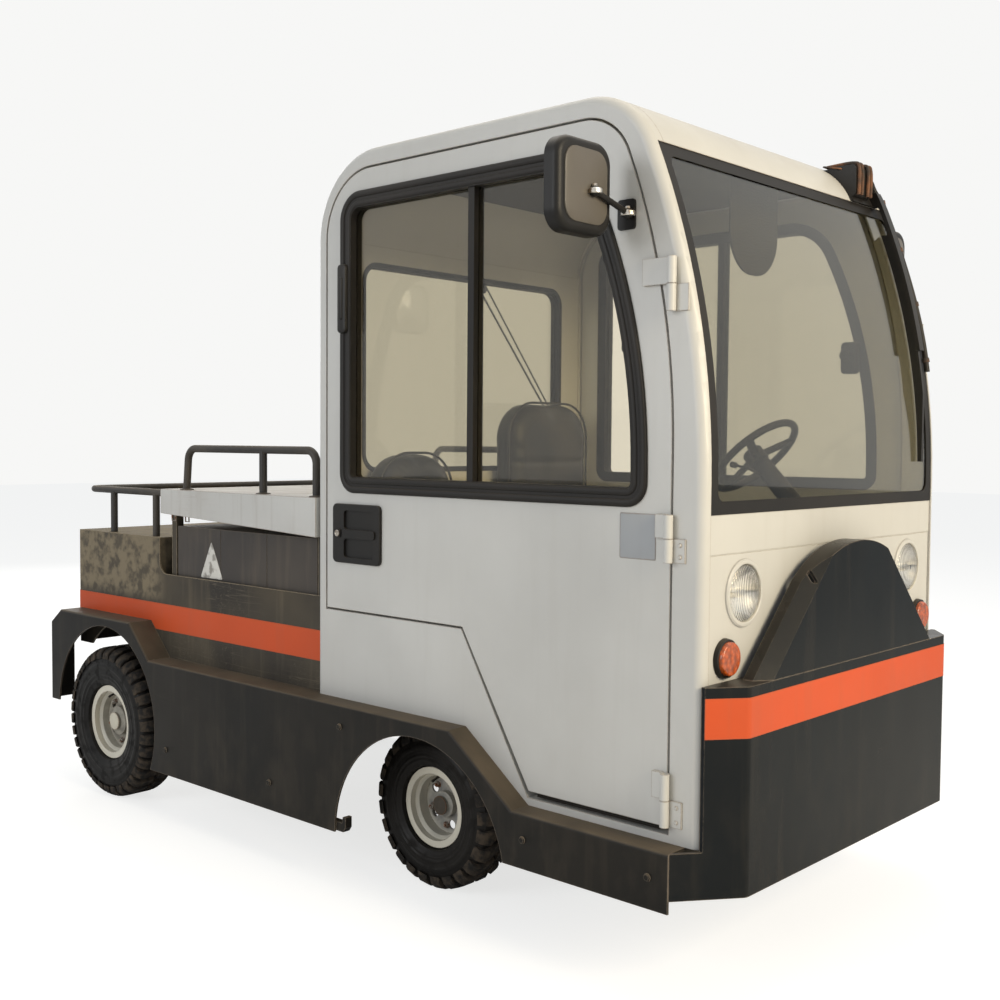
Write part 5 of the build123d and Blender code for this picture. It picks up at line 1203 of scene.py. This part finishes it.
# name, x, y, tyre radius, half width, flange radius, rim half width, nut circle, disc face, hub end
wheels = [
    ("front", 0.470, 0.445, 0.235, 0.067, 0.116, 0.044, 0.062, -0.012, 0.018),
    ("rear", -1.030, 0.590, 0.270, 0.080, 0.131, 0.058, 0.075, 0.008, 0.042),
]
rim_paints = {}
for end, x, y, radius, half, flange_r, rim_half, nuts_at, disc, hub_end in wheels:
    material, tree, shader = new_material(f"{end} rim paint", 0.4)
    cream = blend_colour(tree, use_group(tree, scratches, Scale=1.6, Share=0.3),
        (0.6, 0.565, 0.47, 1), (0.28, 0.2, 0.13, 1))
    chips = use_group(tree, worn_edge, Width=0.004, Amount=0.30, Breakup=60.0)
    cream = blend_colour(tree, chips, cream, (0.16, 0.11, 0.075, 1))
    # The dish is painted darker: blue-grey painted shade on the front rims, brownish dust from the
    # brakes on the rear.
    dish_shade_and_dust = add_node(
        tree, "ShaderNodeGroup", {"Middle X": x, "Middle Z": radius, "Reach": flange_r - 0.012},
        node_tree=flange).outputs[0]
    dish_shade_and_dust_colour = (0.085, 0.088, 0.095, 1) if end == "front" else (0.075, 0.066, 0.055, 1)
    two_tone(tree, shader, maths(tree, "MULTIPLY", dish_shade_and_dust, 0.86), cream, dish_shade_and_dust_colour)
    tree.links.new(maths(tree, "ADD", 0.36, maths(tree, "MULTIPLY", dish_shade_and_dust, 0.4)),
        shader.inputs["Roughness"])
    bump(tree, shader, cloud(tree, 300.0, 4.0), 0.0004, 0.5)
    dress(material, f"rim_{end}_right", f"rim_{end}_left")
    rim_paints[end] = material


def round_axle(tree, given):
    """The given mesh again and again, turned about the axle."""
    number = add_node(tree, "GeometryNodeInputIndex").outputs[0]
    share = add_node(tree, "ShaderNodeMath", {0: number, 1: given.outputs["Count"]},
        operation="DIVIDE").outputs[0]
    swing = add_node(tree, "ShaderNodeMath", {0: share, 1: 2 * math.pi, 2: given.outputs["Turn"]},
        operation="MULTIPLY_ADD").outputs[0]
    turn = add_node(tree, "ShaderNodeCombineXYZ", {"Y": swing}).outputs[0]
    spots = add_node(
        tree, "GeometryNodePoints", {"Count": given.outputs["Count"],
            "Position": given.outputs["Middle"]})
    return add_node(tree, "GeometryNodeInstanceOnPoints",
        {"Points": spots.outputs[0], "Instance": given.outputs["Geometry"], "Rotation": turn})


ring_of_parts = parts_tree(
    "ring of parts", [("Count", "Int", 5), ("Turn", "Float", 0.0), ("Middle", "Vector", (0, 0, 0))],
    round_axle)

cap_paint = painted_plate("hub cap paint", (0.6, 0.56, 0.45, 1), rust_colour, edge=0.25, spray=0.1,
    top=0.1, film=0.25, scratched=0.2, gloss=0.4, streaks=0.0)
nut_profile = [(-0.001, 0.0), (-0.001, 0.0115), (0.001, 0.0115), (0.0015, 0.0095), (0.0085, 0.0095),
    (0.0105, 0.008), (0.0105, 0.0)]
for end, x, y, radius, half, flange_r, rim_half, nuts_at, disc, hub_end in wheels:
    for side, hand in hands:
        body = f"wheel_{end}_{hand}"
        outward = Vector((0, side, 0))
        nut = lathe(nut_profile, Vector((0, side * disc, nuts_at)), outward, 6)
        stud = lathe(
            [(0.01, 0.0), (0.01, 0.0045), (0.0145, 0.0045), (0.0155, 0.0035), (0.0155, 0.0)],
            Vector((0, side * disc, nuts_at)), outward, 14)
        nuts = laid_out(f"wheel_nuts_{end}_{hand}", as_mesh("wheel nut", [nut, stud], None),
            ring_of_parts, bolt_steel, Count=5, Turn=math.radians(36), Middle=(x, side * y, radius))
        fit(f"wheel_nuts_{end}_{hand}", nuts, body)
        cap_r = 0.026 if end == "front" else 0.030
        cap = lathe(
            [(0.0, 0.0), (0.0, cap_r + 0.0015), (0.002, cap_r + 0.001), (0.004, cap_r * 0.86),
                (0.0055, cap_r * 0.5), (0.006, 0.0)], Vector((x, side * (y + hub_end), radius)),
            outward, 40)
        cap_finish = chassis_black if end == "front" else cap_paint
        fit_shapes(f"hub_cap_{end}_{hand}", [cap], cap_finish, body)
        stem = smooth_path(
            [(x, side * (y + rim_half - 0.022), radius + flange_r - 0.03),
                (x, side * (y + rim_half - 0.008), radius + flange_r - 0.034),
                (x, side * (y + rim_half + 0.006), radius + flange_r - 0.04)])
        fit_shapes(f"valve_{end}_{hand}", [pipe(stem, 0.0038, 12)], black_rubber, body)

# ---------------------------------------------------------------- tyres
# Industrial tyres: raised rings round a black sidewall, and bars of tread
# that run from the shoulder in a bend to the middle, dusty on the tread.
tyre_rubber, tree, shader = new_material("tyre rubber", 0.6, shine=0.15)
grit = ramp(tree, cloud(tree, 30.0, 9.0), 0.42, 0.72)
dirt = use_group(tree, road_dust, Top=0.10, Spray=0.06, Spray_height=0.5, Film=0.12)
tone = blend_colour(tree, dirt, (0.0055, 0.0053, 0.0052, 1), (0.045, 0.035, 0.026, 1))
tree.links.new(tone, shader.inputs["Base Color"])
tree.links.new(ramp(tree, grit, 0.0, 1.0, 0.42, 0.75), shader.inputs["Roughness"])
bump(tree, shader, cloud(tree, 180.0, 5.0), 0.0006, 0.5)

tread_rubber, tree, shader = new_material("tread rubber", 0.85, shine=0.25)
grit = ramp(tree, cloud(tree, 46.0, 9.0), 0.36, 0.70)
two_tone(tree, shader, grit, (0.012, 0.0108, 0.0098, 1), (0.058, 0.044, 0.031, 1))
bump(tree, shader, cloud(tree, 150.0, 6.0), 0.0010, 0.6)


def casing(radius, half, flange_r, rim_half):
    """Half section of a tyre without lugs, from bead over sidewall to the middle of the tread."""
    floor_r = radius - 0.013
    wall = []
    steps = 26
    for i in range(steps + 1):
        t = i / steps
        r = flange_r + 0.006 + (floor_r - 0.020 - flange_r - 0.006) * t
        bulge = rim_half + (half - 0.003 - rim_half) * math.sin(
            math.pi * min(t * 0.72 + 0.1, 1.0)) ** 0.55
        raised = 0.0016 if 0.16 < t < 0.24 or 0.34 < t < 0.40 or 0.60 < t < 0.76 else 0.0
        wall.append((min(bulge + raised, half), r))
    return [(rim_half - 0.0068, flange_r - 0.012), (rim_half - 0.0066, flange_r + 0.002)] + wall + [
        (half * 0.78, floor_r - 0.008), (half * 0.55, floor_r - 0.002), (half * 0.25, floor_r)]


def tread_top(radius, half, across):
    """Height of the lug tops across the tread."""
    share = max(across / half - 0.52, 0.0) / 0.48
    return radius - 0.0008 - 0.026 * share ** 2.2


def lug(radius, half, side, pitch, wide, bend, inner):
    """One lug about the wheel's middle, from the shoulder to the crown."""
    rings = []
    stations = [1.0, 0.95, 0.80, 0.62, 0.44, 0.28, inner]
    for share in stations:
        across = half * share
        drift = bend * pitch * max(0.62 - share, 0.0) / 0.62
        top = tread_top(radius, half, across)
        root = radius - 0.0165 - 0.024 * max(share - 0.60, 0.0) / 0.40
        if share == 1.0:
            across, top = half - 0.0012, top - 0.012
        spread = wide * (1.0 if share > 0.5 else 0.85)
        ring = []
        for swing, r in ((-0.56, root), (-0.50, top - 0.002), (-0.44, top),
                         (0.44, top), (0.50, top - 0.002), (0.56, root)):
            a = drift + swing * spread / radius
            ring.append((r * math.sin(a), side * across, r * math.cos(a)))
        rings.append(ring)
    return lofted(rings)


# lugs, width, bend, inner end
patterns = {"front": (25, 0.040, 0.50, 0.05), "rear": (34, 0.036, 0.30, 0.06)}
for end, x, y, radius, half, flange_r, rim_half, nuts_at, disc, hub_end in wheels:
    count, wide, bend, inner = patterns[end]
    pitch = 2 * math.pi / count
    half_section = casing(radius, half, flange_r, rim_half)
    section = half_section + [(-along, r) for along, r in reversed(half_section)]
    for side, hand in hands:
        body = f"wheel_{end}_{hand}"
        middle = Vector((x, side * y, radius))
        carcass = as_mesh(
            f"tyre casing {end} {hand}", [lathe(section, middle, (0, 1, 0), 96, closed=True)],
            tyre_rubber, 40)
        tyre = fit(f"casing_{end}_{hand}", carcass, body)
        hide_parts(f"tyre_{end}_{hand}")
        rows = [
            laid_out(f"lugs {end} {hand} {row}", as_mesh("lug",
                    [lug(radius, half, row, pitch, wide, bend * side, inner)], None), ring_of_parts,
                tread_rubber, Count=count, Turn=pitch * (0.5 if row > 0 else 0.0),
                Middle=tuple(middle)) for row in (-1, 1)]
        fit(f"lugs_{end}_{hand}", join(f"lugs_{end}_{hand}", *rows), body)
